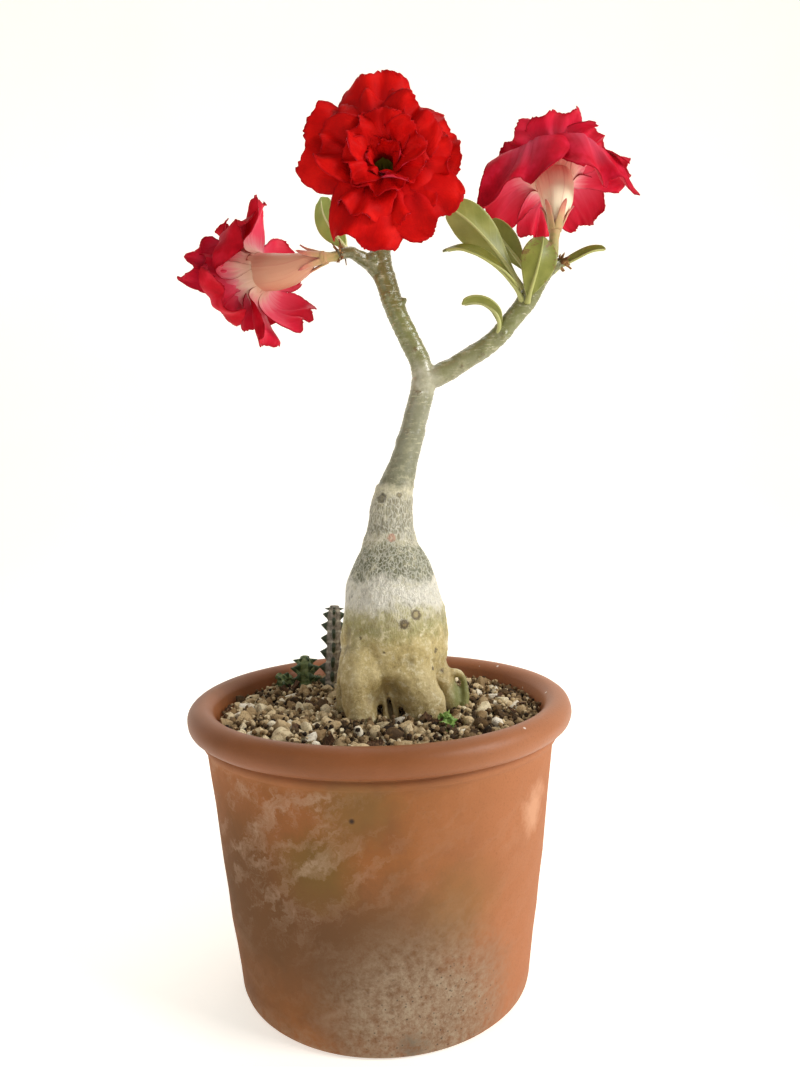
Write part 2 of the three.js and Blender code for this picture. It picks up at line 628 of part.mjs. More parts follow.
// A short ribbed succulent stem, whose ribs stand out as a tooth at every second ring
function toothedStem({ line, ribs, teeth, reach }, grow = 0) {
  const rings = 2 * teeth + 2;
  const lumps = (angle, height, ring) => {
    if (Math.cos(ribs * angle) < 0) return 0.8;
    const rib = Math.round((angle * ribs) / (2 * Math.PI) + ribs);
    return (ring + rib) % 2 === 1 && ring > 2 && ring < rings ? reach : 1.05;
  };
  return limb(line, ribs * 2, rings, grow, lumps);
}
const companions = {
  succulent_tall: {
    line: [[-28, 45, 130, 3], [-28, 45, 141, 3.8], [-27.4, 45, 153, 4], [-26.4, 45, 166, 3.9],
      [-26, 45, 178, 3.8], [-25.6, 45, 187, 3.2], [-25.5, 45, 190, 2.2]],
    ribs: 4, teeth: 8, reach: 2,
  },
  succulent_low: {
    line: [[-44, 55, 130, 3], [-44, 55, 139, 4.4], [-44.4, 54.5, 147, 5], [-44.6, 54, 155, 4.6],
      [-44.6, 54, 159, 1.6]],
    ribs: 5, teeth: 4, reach: 2,
  },
  succulent_slanting: {
    line: [[-50, 52, 131, 2.2], [-53, 51, 139, 3.2], [-57, 50.4, 145, 3.2], [-61, 50, 149, 1.4]],
    ribs: 4, teeth: 3, reach: 2.1,
  },
  succulent_seedling: {
    line: [[33, -39, 130, 2], [33, -39, 139.4, 2.4], [32.6, -39.4, 143.6, 2.8], [32.2, -39.6, 147.4, 1.4]],
    ribs: 5, teeth: 2, reach: 2,
  },
};

// Soil and gravel: the mix fills the pot, and a layer of stones covers it
const soilBed = turned([
  [0, floorThickness + seat],
  [bedRadius(floorThickness + seat), floorThickness + seat],
  [bedRadius(14), 14],
  [bedRadius(soilTop), soilTop],
  [0, soilTop],
]);
const gravelRoom = turned([
  [0, soilTop + seat],
  [bedRadius(soilTop + seat), soilTop + seat],
  [bedRadius(potHeight - 5), potHeight - 5],
  [0, potHeight - 5],
]);

// The stones lie edge to edge on a three-way grid: every third grid point is the top of a stone, and the
// points round it are the bottoms of the cracks.
function gravel() {
  const draw = seeded(11);
  const [columns, rows] = [48, 34];
  const rise = stoneSpacing * Math.sqrt(0.75);
  const grid = [];
  for (let row = 0; row <= rows; row++) {
    for (let column = 0; column <= columns; column++) {
      const x = (column - columns / 2 + (row - rows / 2) / 2) * stoneSpacing + 2.6 * (draw() - 0.5);
      const y = (rows / 2 - row) * rise + 2.6 * (draw() - 0.5);
      const slope = THREE.MathUtils.mapLinear(Math.hypot(x, y), 45, 86, gravelCrown, gravelEdge);
      const stone = (column - row + columns * 3) % 3 === 0;
      grid.push([x, y, Math.min(slope, gravelCrown) + (stone ? 0.6 + 2.6 * draw() : -1.5 + draw())]);
    }
  }
  const plate = new THREE.BoxGeometry(columns, rows, 1, columns, rows, 1);
  const place = plate.attributes.position;
  for (let i = 0; i < place.count; i++) {
    const column = Math.round(place.getX(i) + columns / 2);
    const row = Math.round(rows / 2 - place.getY(i));
    const [x, y, height] = grid[row * (columns + 1) + column];
    place.setXYZ(i, x, y, place.getZ(i) > 0 ? height : soilTop - 5);
  }
  return solid(plate).intersect(gravelRoom);
}

const plantClear = plantBody(seat);
const stemsClear = Object.values(companions).map((companion) => toothedStem(companion, 1.5 * seat));
const cleared = (made) => stemsClear.reduce((left, stem) => left.subtract(stem), made.subtract(plantClear));

const rose = new THREE.Group();
rose.add(named("pot", potBody(), terracotta));
rose.add(named("soil", cleared(soilBed), pottingMix));
rose.add(named("gravel", cleared(gravel()), pumice));
rose.add(named("plant", plantBody(0), bark));
for (const [name, leaf] of Object.entries(leaves))
  rose.add(named(name, leafBlade(leaf).subtract(plantClear), leafGreen));
Object.entries(blooms).forEach(([name, bloom], index) => {
  rose.add(named("bloom_" + name, corolla(bloom, 31 + index), petalRed));
  rose.add(named("calyx_" + name, calyx(bloom).subtract(plantClear), sepalPink));
  rose.add(named("stamens_" + name, stamens(bloom), stamenGreen));
});
for (const [name, companion] of Object.entries(companions))
  rose.add(named(name, toothedStem(companion), succulentGreen));

export default rose;
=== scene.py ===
import bpy
import bmesh
import functools
import math
import random
from mathutils import Matrix, Quaternion, Vector, noise


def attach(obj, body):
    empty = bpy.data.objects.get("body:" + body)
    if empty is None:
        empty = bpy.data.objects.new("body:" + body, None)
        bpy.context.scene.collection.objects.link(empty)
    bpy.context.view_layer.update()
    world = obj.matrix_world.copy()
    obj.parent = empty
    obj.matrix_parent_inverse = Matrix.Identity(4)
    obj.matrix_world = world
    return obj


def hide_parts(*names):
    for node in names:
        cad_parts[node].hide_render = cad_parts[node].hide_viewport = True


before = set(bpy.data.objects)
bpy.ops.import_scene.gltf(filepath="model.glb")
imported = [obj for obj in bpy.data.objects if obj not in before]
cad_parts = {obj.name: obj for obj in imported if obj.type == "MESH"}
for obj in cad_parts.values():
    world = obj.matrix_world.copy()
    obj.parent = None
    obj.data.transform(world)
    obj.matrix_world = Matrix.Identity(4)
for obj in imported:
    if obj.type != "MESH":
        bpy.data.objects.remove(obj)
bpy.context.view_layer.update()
mm = 0.001
print("frame loaded")


def linear(shade):  # an sRGB hex colour as the shader wants it
    parts = [int(shade[i : i + 2], 16) / 255 for i in (1, 3, 5)]
    return [p / 12.92 if p <= 0.04045 else ((p + 0.055) / 1.055) ** 2.4 for p in parts] + [1]


def addNode(tree, kind, values, out=0, **settings):  # a node, set and linked; gives one of its outputs
    node = tree.nodes.new("ShaderNode" + kind)
    stops = settings.pop("stops", None)
    for name, value in settings.items():
        setattr(node, name, value)
    if stops:
        ramp = node.color_ramp.elements
        ramp.remove(ramp[1])
        ramp[0].position, ramp[0].color = stops[0][0], linear(stops[0][1])
        for place, shade in stops[1:]:
            ramp.new(place).color = linear(shade)
    for key, value in values.items():
        if isinstance(value, bpy.types.NodeSocket):
            tree.links.new(value, node.inputs[key])
        else:
            node.inputs[key].default_value = value
    return node.outputs[out]


def startMaterial(name, shader):  # its coordinates are the object's, in millimetres
    material = bpy.data.materials.new(name)
    material.use_nodes = True
    tree = material.node_tree
    skin = tree.nodes["Principled BSDF"]
    for key, value in shader.items():
        skin.inputs[key].default_value = value
    add = functools.partial(addNode, tree)
    place = add("Mapping", {"Vector": add("TexCoord", {}, "Object"), "Scale": (1 / mm,) * 3})
    return material, skin, add, place


def nearSpot(add, place, centre, outer, inner, low=0, high=1, **blend):  # a soft round patch
    far = add("VectorMath", {0: place, 1: centre}, "Value", operation="DISTANCE")
    return add("MapRange", {0: far, 1: outer, 2: inner, 3: low, 4: high}, **blend)


def peaksWithin(add, pattern, low, high, most, mask):  # a pattern's peaks, kept to where a mask lets them
    peaks = add("MapRange", {0: pattern, 1: low, 2: high, 3: 0, 4: most})
    return add("Math", {0: peaks, 1: mask}, operation="MULTIPLY")


def joinSkin(material, skin, add, colour, rough=None, height=None, relief=0.3, coats=()):  # relief in mm
    for share, shade in coats:  # each lies over the ones before it
        colour = add("Mix", {0: share, 6: colour, 7: linear(shade)}, 2, data_type="RGBA")
    links = material.node_tree.links
    links.new(colour, skin.inputs["Base Color"])
    if rough is not None:
        links.new(rough, skin.inputs["Roughness"])
    if height is not None:
        bump = add("Bump", {"Height": height, "Distance": relief * mm, "Strength": 1})
        links.new(bump, skin.inputs["Normal"])
    return material


def linkObject(name, mesh):  # a bmesh becomes an object of the scene
    data = bpy.data.meshes.new(name)
    mesh.to_mesh(data)
    mesh.free()
    made = bpy.data.objects.new(name, data)
    bpy.context.collection.objects.link(made)
    return made


def setPiece(name, mesh, materials, nodes=(), sharp=None):  # a riding piece from a bmesh in millimetres
    bmesh.ops.scale(mesh, vec=(mm,) * 3, verts=mesh.verts)
    for face in mesh.faces:
        face.smooth = True
    if sharp:
        for edge in mesh.edges:
            edge.smooth = edge.calc_face_angle(0) < math.radians(sharp)
    piece = linkObject(name, mesh)
    for material in materials:
        piece.data.materials.append(material)
    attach(piece, "root")
    if nodes:
        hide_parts(*nodes)
    return piece


def thicken(piece, thickness, otherSide):  # a live shell round a sheet, its other side in the next material
    shell = piece.modifiers.new("thickness", "SOLIDIFY")
    shell.thickness = thickness * mm
    shell.offset = 0
    shell.material_offset = otherSide
    shell.use_quality_normals = True


def seeded(seed):  # the CAD part's draw, so that each petal here is the one there
    state = seed

    def draw():
        nonlocal state
        state = (state * 1664525 + 1013904223) % 4294967296
        return state / 4294967296

    return draw


def ease(low, high, value):
    share = min(max((value - low) / (high - low), 0), 1)
    return share * share * (3 - 2 * share)


def onCurve(spots, share):  # a centripetal curve through the spots
    last = len(spots) - 1
    place = min(max(share, 0), 1) * last
    k = min(int(place), last - 1)
    t = place - k
    b, c = spots[k], spots[k + 1]
    a = spots[k - 1] if k else 2 * b - c
    d = spots[k + 2] if k + 2 <= last else 2 * c - b
    ab, bc, cd = [max((q - p).length, 1e-6) ** 0.5 for p, q in ((a, b), (b, c), (c, d))]
    m = ((b - a) / ab - (c - a) / (ab + bc) + (c - b) / bc) * bc
    n = ((c - b) / bc - (d - b) / (bc + cd) + (d - c) / cd) * bc
    return b + m * t + (3 * (c - b) - 2 * m - n) * t * t + (2 * (b - c) + m + n) * t**3


def ringsAlong(line, steps):  # frames for the rings of a limb through [x, y, z, radius] points
    spots = [Vector(point[:3]) for point in line]
    across, rings = Vector((0, 1, 0)), []
    for step in range(steps + 1):
        share = step / steps
        along = (onCurve(spots, share + 1e-4) - onCurve(spots, share - 1e-4)).normalized()
        if step == 0 and abs(along.y) > 0.8:
            across = Vector((1, 0, 0))
        across = (across - along * across.dot(along)).normalized()
        place = share * (len(line) - 1)
        k = min(int(place), len(line) - 2)
        radius = line[k][3] + (line[k + 1][3] - line[k][3]) * (place - k)
        turn = Matrix((across, along.cross(across), along)).transposed().to_4x4()
        rings.append((Matrix.Translation(onCurve(spots, share)) @ turn, radius))
    return rings


def extrudeRings(mesh, rings, sides, swell=None):  # swell(angle, step) scales a ring point's radius
    placed = [place @ Matrix.Scale(radius, 4) for place, radius in rings]
    made = bmesh.ops.create_circle(mesh, segments=sides, radius=1, cap_ends=True, matrix=placed[0])["verts"]
    edges = list({edge for vert in made for edge in vert.link_edges})
    allRings = [made]
    for before, after in zip(placed, placed[1:]):
        grown = bmesh.ops.extrude_edge_only(mesh, edges=edges)["geom"]
        made = [part for part in grown if isinstance(part, bmesh.types.BMVert)]
        edges = [part for part in grown if isinstance(part, bmesh.types.BMEdge)]
        edges = [edge for edge in edges if all(vert in made for vert in edge.verts)]
        bmesh.ops.transform(mesh, matrix=after @ before.inverted(), verts=made)
        allRings.append(made)
    bmesh.ops.edgeloop_fill(mesh, edges=edges)
    for step, (ring, (place, _)) in enumerate(zip(allRings, rings)):
        for vert in ring if swell else ():
            spot = place.inverted() @ vert.co
            scale = swell(math.atan2(spot.y, spot.x), step)
            vert.co = place @ Vector((spot.x * scale, spot.y * scale, spot.z))
    return allRings


def outwards(mesh):  # doubles merged first, then every face turned to look out
    bmesh.ops.remove_doubles(mesh, verts=mesh.verts, dist=1e-4)
    bmesh.ops.recalc_face_normals(mesh, faces=mesh.faces)


# Pot: its section as radius and height in millimetres, from the foot up the wall and down inside
pot = {
    "wall": [(0, 0), (72.4, 0), (74.6, 0.5), (75.9, 1.8), (76.6, 4), (77.7, 14), (79.3, 27), (81.2, 40),
             (82.8, 55), (84.6, 70), (86.2, 85), (87.7, 100), (89.3, 115), (90.4, 126), (90.7, 129.2),
             (91.6, 130.2), (92.9, 131.2), (93.3, 132.8), (93.1, 134.3), (92.4, 135.2)],
    "roll": (92.8, 142.8, 7.2, -82, 112),  # centre radius and height, section radius, first and last angle
    "rollSteps": 18,
    "inside": [(87.6, 147.6), (86.3, 145), (83, 114), (77, 62), (71, 14), (66, 9), (0, 9)],
    "floor": 9,  # its thickness
    "steps": 168,  # round the pot
    "drains": (32, 6, (90, 210, 330)),  # circle, radius, angles
    "wobble": 0.45,  # out of round
    "ripple": 0.12,  # height of the throwing rings
    # dark brown at the left, partly damp and partly painted shade on the side away from the key lamp,
    # brown patches in front, algae under the rim, a dark fleck and a painted highlight on the right side:
    # centre, reach, shade and strength
    "stainsShadeAndHighlight": [
        ((-62, -55, 62), 64, "#5e3f20", 0.82),
        ((-14, -78, 52), 46, "#64452a", 0.85),
        ((12, -80, 66), 34, "#6c4b2c", 0.7),
        ((-30, -82, 92), 24, "#6f5a28", 0.55),
        ((14, -76, 24), 52, "#70523a", 0.8),
        ((-12, -88, 122), 22, "#7c6838", 0.36),
        ((34, -76, 72), 26, "#8e6a3e", 0.4),
        ((-13.5, -88.3, 116.5), 1.7, "#3a2a1e", 1),
        ((73, -50, 104), 15, "#d9a583", 0.6),
    ],
}


def firedClay():  # terracotta: matt and earthy, with lime wisps, damp brown and a grey crust at the foot
    material, skin, add, place = startMaterial("fired_clay", {"Roughness": 0.82, "Specular IOR Level": 0.3})
    aside, height = [add("SeparateXYZ", {0: place}, axis) for axis in (0, 2)]
    broad = add("TexNoise", {"Vector": place, "Scale": 1 / 48, "Detail": 4, "Roughness": 0.6})
    clay = add("ValToRGB", {0: broad}, stops=[
        (0.3, "#794b28"), (0.45, "#8c572c"), (0.58, "#985e34"), (0.72, "#a66c45")])
    # painted light: the right side lighter, where the key lamp falls
    lit = add("MapRange", {0: aside, 1: -10, 2: 80, 3: 0, 4: 0.85}, interpolation_type="SMOOTHSTEP")
    grain = add("TexNoise", {"Vector": place, "Scale": 1 / 0.9, "Detail": 3})
    dust = add("MapRange", {0: grain, 1: 0.52, 2: 0.75, 3: 0, 4: 0.35})
    coats = [(lit, "#b2724c"), (dust, "#7c5232")]
    # stains, painted shade and a painted highlight, with torn edges
    warp = add("TexNoise", {"Vector": place, "Scale": 1 / 14, "Detail": 5, "Roughness": 0.7}, 1)
    warp = add("VectorMath", {0: warp, "Scale": 26}, operation="SCALE")
    torn = add("VectorMath", {0: place, 1: warp}, operation="ADD")
    torn = add("VectorMath", {0: torn, 1: (13, 13, 13)}, operation="SUBTRACT")
    for centre, reach, shade, strength in pot["stainsShadeAndHighlight"]:
        stain = nearSpot(add, torn if reach > 5 else place, centre, reach, 0.35 * reach, high=strength)
        coats.append((stain, shade))
    # lime in thin slanting wisps below the rim, thickest at the upper left
    slanted = add("Mapping", {"Vector": torn, "Rotation": (0, 0.7, 0)})
    slanted = add("Mapping", {"Vector": slanted, "Scale": (1 / 30, 1 / 30, 1 / 8)})
    wisps = add("TexNoise", {"Vector": slanted, "Scale": 1, "Detail": 6, "Roughness": 0.66})
    upper = nearSpot(add, place, (-58, -68, 114), 75, 20, low=0.16)
    lime = peaksWithin(add, wisps, 0.48, 0.78, 0.62, upper)
    lime = peaksWithin(add, height, 131, 127, 1, lime)
    # the pale crust with black dots, thick in front and thin all round the foot
    foot = nearSpot(add, place, (16, -72, 18), 60, 14, interpolation_type="SMOOTHSTEP")
    hem = add("MapRange", {0: height, 1: 14, 2: 2, 3: 0, 4: 0.45})
    foot = add("Math", {0: foot, 1: hem}, operation="MAXIMUM")
    fine = add("TexNoise", {"Vector": place, "Scale": 1 / 3.6, "Detail": 5, "Roughness": 0.75})
    crust = peaksWithin(add, fine, 0.34, 0.66, 0.9, foot)
    dots = add("TexVoronoi", {"Vector": place, "Scale": 1 / 2.6, "Randomness": 1})
    thick = add("Math", {0: foot, 1: broad}, operation="MULTIPLY")
    thick = add("MapRange", {0: thick, 1: 0.2, 2: 0.46, 3: 0, 4: 0.9})
    soot = peaksWithin(add, dots, 0.22, 0.05, 1, thick)
    scuff = nearSpot(add, torn, (10, -74, 4), 22, 4)
    scuff = add("Math", {0: scuff, 1: fine}, operation="MULTIPLY")
    scuff = add("MapRange", {0: scuff, 1: 0.34, 2: 0.62, 3: 0, 4: 0.5})
    soot = add("Math", {0: soot, 1: scuff}, operation="MAXIMUM")
    # years of handling darken the rim, and painted shade darkens its left, away from the key lamp;
    # with a few white flecks on its right
    handledAndShaded = add("MapRange", {0: aside, 1: 70, 2: 10, 3: 0.2, 4: 1})
    rubbedAndShaded = peaksWithin(add, height, 131, 136, 0.5, handledAndShaded)
    flecks = add("TexVoronoi", {"Vector": place, "Scale": 1 / 9, "Randomness": 1})
    rightSide = add("MapRange", {0: aside, 1: 50, 2: 66, 3: 0, 4: 0.9})
    rimSide = peaksWithin(add, height, 134, 138, 1, rightSide)
    flecks = peaksWithin(add, flecks, 0.1, 0.06, 1, rimSide)
    coats += [(lime, "#cdb096"), (crust, "#a8957c"), (soot, "#352b22"), (rubbedAndShaded, "#7f4423"), (flecks, "#efe4d8")]
    flaked = add("Math", {0: fine, 1: crust}, operation="MULTIPLY")
    relief = add("Math", {0: grain, 1: 0.3}, operation="MULTIPLY")
    relief = add("Math", {0: relief, 1: flaked}, operation="ADD")
    rough = add("MapRange", {0: height, 1: 128, 2: 138, 3: 0.86, 4: 0.46})
    return joinSkin(material, skin, add, clay, rough, relief, 0.35, coats)


def makePot():
    mesh = bmesh.new()
    centre, lift, radius, first, last = pot["roll"]
    steps = pot["rollSteps"]
    turns = [math.radians(first + (last - first) * k / steps) for k in range(steps + 1)]
    roll = [(centre + radius * math.cos(turn), lift + radius * math.sin(turn)) for turn in turns]
    section = [mesh.verts.new((r, 0, z)) for r, z in pot["wall"] + roll + pot["inside"]]
    edges = [mesh.edges.new(pair) for pair in zip(section, section[1:])]
    bmesh.ops.spin(mesh, geom=section + edges, cent=(0, 0, 0), axis=(0, 0, 1), angle=math.tau,
                   steps=pot["steps"], use_merge=True)
    outwards(mesh)
    for vert in mesh.verts:  # hand-thrown: a little out of round, with faint throwing rings
        if vert.co.xy.length > 70 and vert.co.z > 3:
            ripple = math.sin(vert.co.z * 0.55 + noise.noise(vert.co * 0.03) * 4)
            push = pot["wobble"] * noise.noise(vert.co * 0.018) + pot["ripple"] * ripple
            vert.co += Vector((vert.co.x, vert.co.y, 0)).normalized() * push
    piece = setPiece("clay_pot", mesh, [firedClay()], ["pot"])
    # the drain holes
    circle, radius, angles = pot["drains"]
    drill = bmesh.new()
    for angle in angles:
        turn = math.radians(angle)
        spot = Matrix.Translation((circle * math.cos(turn), circle * math.sin(turn), pot["floor"] / 2))
        bmesh.ops.create_cone(drill, cap_ends=True, segments=32, radius1=radius, radius2=radius,
                              depth=2 * pot["floor"], matrix=spot)
    bmesh.ops.scale(drill, vec=(mm,) * 3, verts=drill.verts)
    bit = linkObject("drill", drill)
    cut = piece.modifiers.new("drains", "BOOLEAN")
    cut.object, cut.operation, cut.solver = bit, "DIFFERENCE", "EXACT"
    drilled = bpy.data.meshes.new_from_object(piece.evaluated_get(bpy.context.evaluated_depsgraph_get()))
    piece.modifiers.clear()
    piece.data = drilled
    bpy.data.objects.remove(bit)
    print("pot made")


# The rose's stem, roots and branches, as [x, y, z, radius] in millimetres
rose = {
    "stem": [[9, 4, 156, 15], [9, 2, 161, 23], [8.9, 0, 169, 27.6], [8.7, 0, 181, 27.7],
             [8.4, 0, 194.5, 26.2], [8, 0, 206, 24], [7.8, 0, 215.5, 21.4], [7.6, 0, 222.5, 18.2],
             [7.4, 0, 229.5, 14.2], [7.7, 0, 238, 11.8], [8.4, 0, 246, 11.2], [9.8, 0, 254, 10],
             [11.9, 0, 261.5, 8.4], [14.2, 0, 267.5, 7.8]],
    "trunk": [[13.6, 0, 265, 7.8], [17.4, 0, 277.5, 7], [21, 0, 289.5, 6.5], [24, 0, 300.5, 6.2],
              [26.6, 0, 311, 6.3], [27.6, 0, 316.5, 6]],
    "branches": [
        [[27.4, 0, 314, 6], [24.6, 0, 325, 5.6], [20.4, 0, 334, 5.4], [13.4, 1, 350.1, 5.5],
         [8.1, 3, 367.6, 5.6], [6.2, 5, 377, 5.8], [6.2, 9, 389, 5.2], [7, 11, 398, 4]],
        [[27.5, 0, 313.5, 5.4], [37.2, 0, 317.5, 5.8], [44.5, -1, 321.3, 5.3], [55.4, -3, 327.5, 5.1],
         [65.6, -5, 334.9, 5], [71.6, -7, 341.8, 4.8], [77.5, -8, 348.6, 4.9], [81.3, -9, 353.8, 5.1],
         [84.9, -10, 360.5, 4.9], [89.6, -10, 367, 4.2], [93.2, -9.5, 373.4, 3.2]],
        [[5.6, 4, 371, 4.6], [-0.6, 0, 374.9, 4], [-4.9, -3, 377, 3.5], [-9.3, -5, 378.5, 3],
         [-14.2, -6, 377.7, 2.9], [-17, -6, 376.8, 2.3]],
        [[88.5, -10, 365.5, 3.4], [95, -9, 369.4, 3], [99.5, -9, 372.4, 2.2]],
    ],
    "roots": [
        [[4, -3, 184, 17], [-2.5, -9, 172, 17], [-7.5, -15.5, 162, 13], [-10, -20, 153, 9.4],
         [-9.3, -22.5, 145.5, 8.4], [-9, -24.5, 139, 6.4], [-10, -28, 128, 4], [-14, -33, 112, 2]],
        [[12, -3, 186, 18], [13, -9, 174, 17.6], [15.5, -14.5, 163.5, 13.8], [18.4, -18, 155, 11.4],
         [22.6, -20.5, 147, 10.4], [25.4, -22.5, 140, 8.6], [28, -26, 128, 5], [31, -30, 110, 2.4]],
        [[2, -14, 163, 4], [1, -19.5, 155, 2], [2.4, -21.4, 146, 1.7], [3.2, -20.6, 134, 1.6],
         [3.4, -20, 122, 1.4]],
        [[8, -13, 163, 4], [6.4, -19, 155, 2.1], [7.6, -21, 146, 1.8], [8.8, -20, 132, 1.6],
         [9, -20, 120, 1.4]],
        [[-6, -2, 176, 13], [-13, -3.5, 163, 9.5], [-18, -5, 152, 5.4], [-19.8, -6.5, 144, 3.9],
         [-21.6, -7.5, 136, 3], [-25, -9, 122, 1.6]],
        [[3, 5, 184, 18], [-4, 13, 168, 15], [-9, 19, 154, 10.6], [-12.5, 23, 142, 8], [-15, 26, 132, 5.4],
         [-19, 32, 112, 2.4]],
        [[14, 4, 184, 18], [20, 11, 168, 14.6], [24.5, 16.5, 154, 10.4], [27.5, 20.5, 142, 7.6],
         [30, 24, 132, 5.2], [33, 30, 112, 2.4]],
        [[17, -2, 178, 14], [25, -3, 167, 10.5], [31.6, -4.5, 158, 6.6], [36, -6, 151.5, 5.6],
         [37, -7, 144.5, 4.8], [35.4, -7, 134, 3.2], [34, -6, 122, 1.6]],
    ],
    "loopRoot": [[31.5, -2, 158.5, 2.6], [36.1, -5, 159.6, 2.5], [40, -6.5, 160.2, 2.3], [43.2, -7, 158, 2.2],
                 [44.7, -7, 153, 2.2], [44.6, -7, 147.5, 2.3], [43.3, -7, 141.5, 2.3], [42, -7, 130, 1.4]],
    # scars of fallen leaves and flower stalks: centre, half sizes
    "scars": [
        [(24, -5.6, 306.4), (2.4, 1.8, 2)], [(18.2, -5.8, 286.2), (2.2, 1.6, 1.7)],
        [(22.4, -4.8, 329), (2.4, 1.7, 1.9)], [(17.4, -1.4, 355), (2, 2, 2)],
        [(9.6, -2.8, 358), (2.4, 2, 2)], [(46.6, -5, 320.4), (2.2, 1.8, 1.9)],
        [(57, -6.8, 326), (2.4, 1.9, 2.1)], [(68, -10, 335.2), (2.2, 1.8, 2.1)],
        [(1.8, -3.4, 377), (3, 2.6, 2.9)], [(13, -24.8, 190.6), (3, 2.6, 2.6)],
        [(3, -9.4, 252), (3, 2.2, 2.4)],
    ],
    # scars on the skin: centre, radius, shades of ring and middle
    "marks": [
        [(12.8, -26.4, 190.1), 2.7, "#574527", "#a8925c"], [(18.9, -24.6, 194.3), 2.8, "#5b4a2e", "#b8a878"],
        [(8.5, -29.5, 158.8), 1.8, "#e2d3a4", "#efe4bd"], [(8, -14.4, 232.9), 2.4, "#b98a72", "#d6c2a4"],
        [(3.4, -9.6, 253), 2.8, "#4d4630", "#7b7150"], [(12.6, -10.2, 254.4), 1.5, "#6a5f42", "#9a8f68"],
        [(30.1, -18.6, 174.5), 2, "#4b3a22", "#8f7a48"], [(33.3, -12.5, 162.7), 2.2, "#54422a", "#a08a56"],
        [(27.6, -20.4, 166), 1.2, "#4b3a22", "#6b5834"], [(-9, -20, 182), 1.1, "#6a5834", "#8f7d50"],
        [(2.4, -26.4, 176), 0.9, "#5e4c2a", "#7d6a40"], [(21, -24.5, 184), 1, "#e4d8ae", "#eee4c2"],
    ],
    # how far the skin moves, in mm
    "swelling": 0.9,
    "furrow": 1.3,
    "knuckle": 0.9,
    "wrinkle": 0.34,
    "shootRing": 0.3,
    "collar": (258.5, 1.6, 0.8),  # height, half width, how far it stands out
    "waist": (231.5, 1.2, 0.5),
    "voxel": 0.72,  # of the mesh in which the limbs run together
    "cutHeight": 124,  # the roots end here, in the mix
}


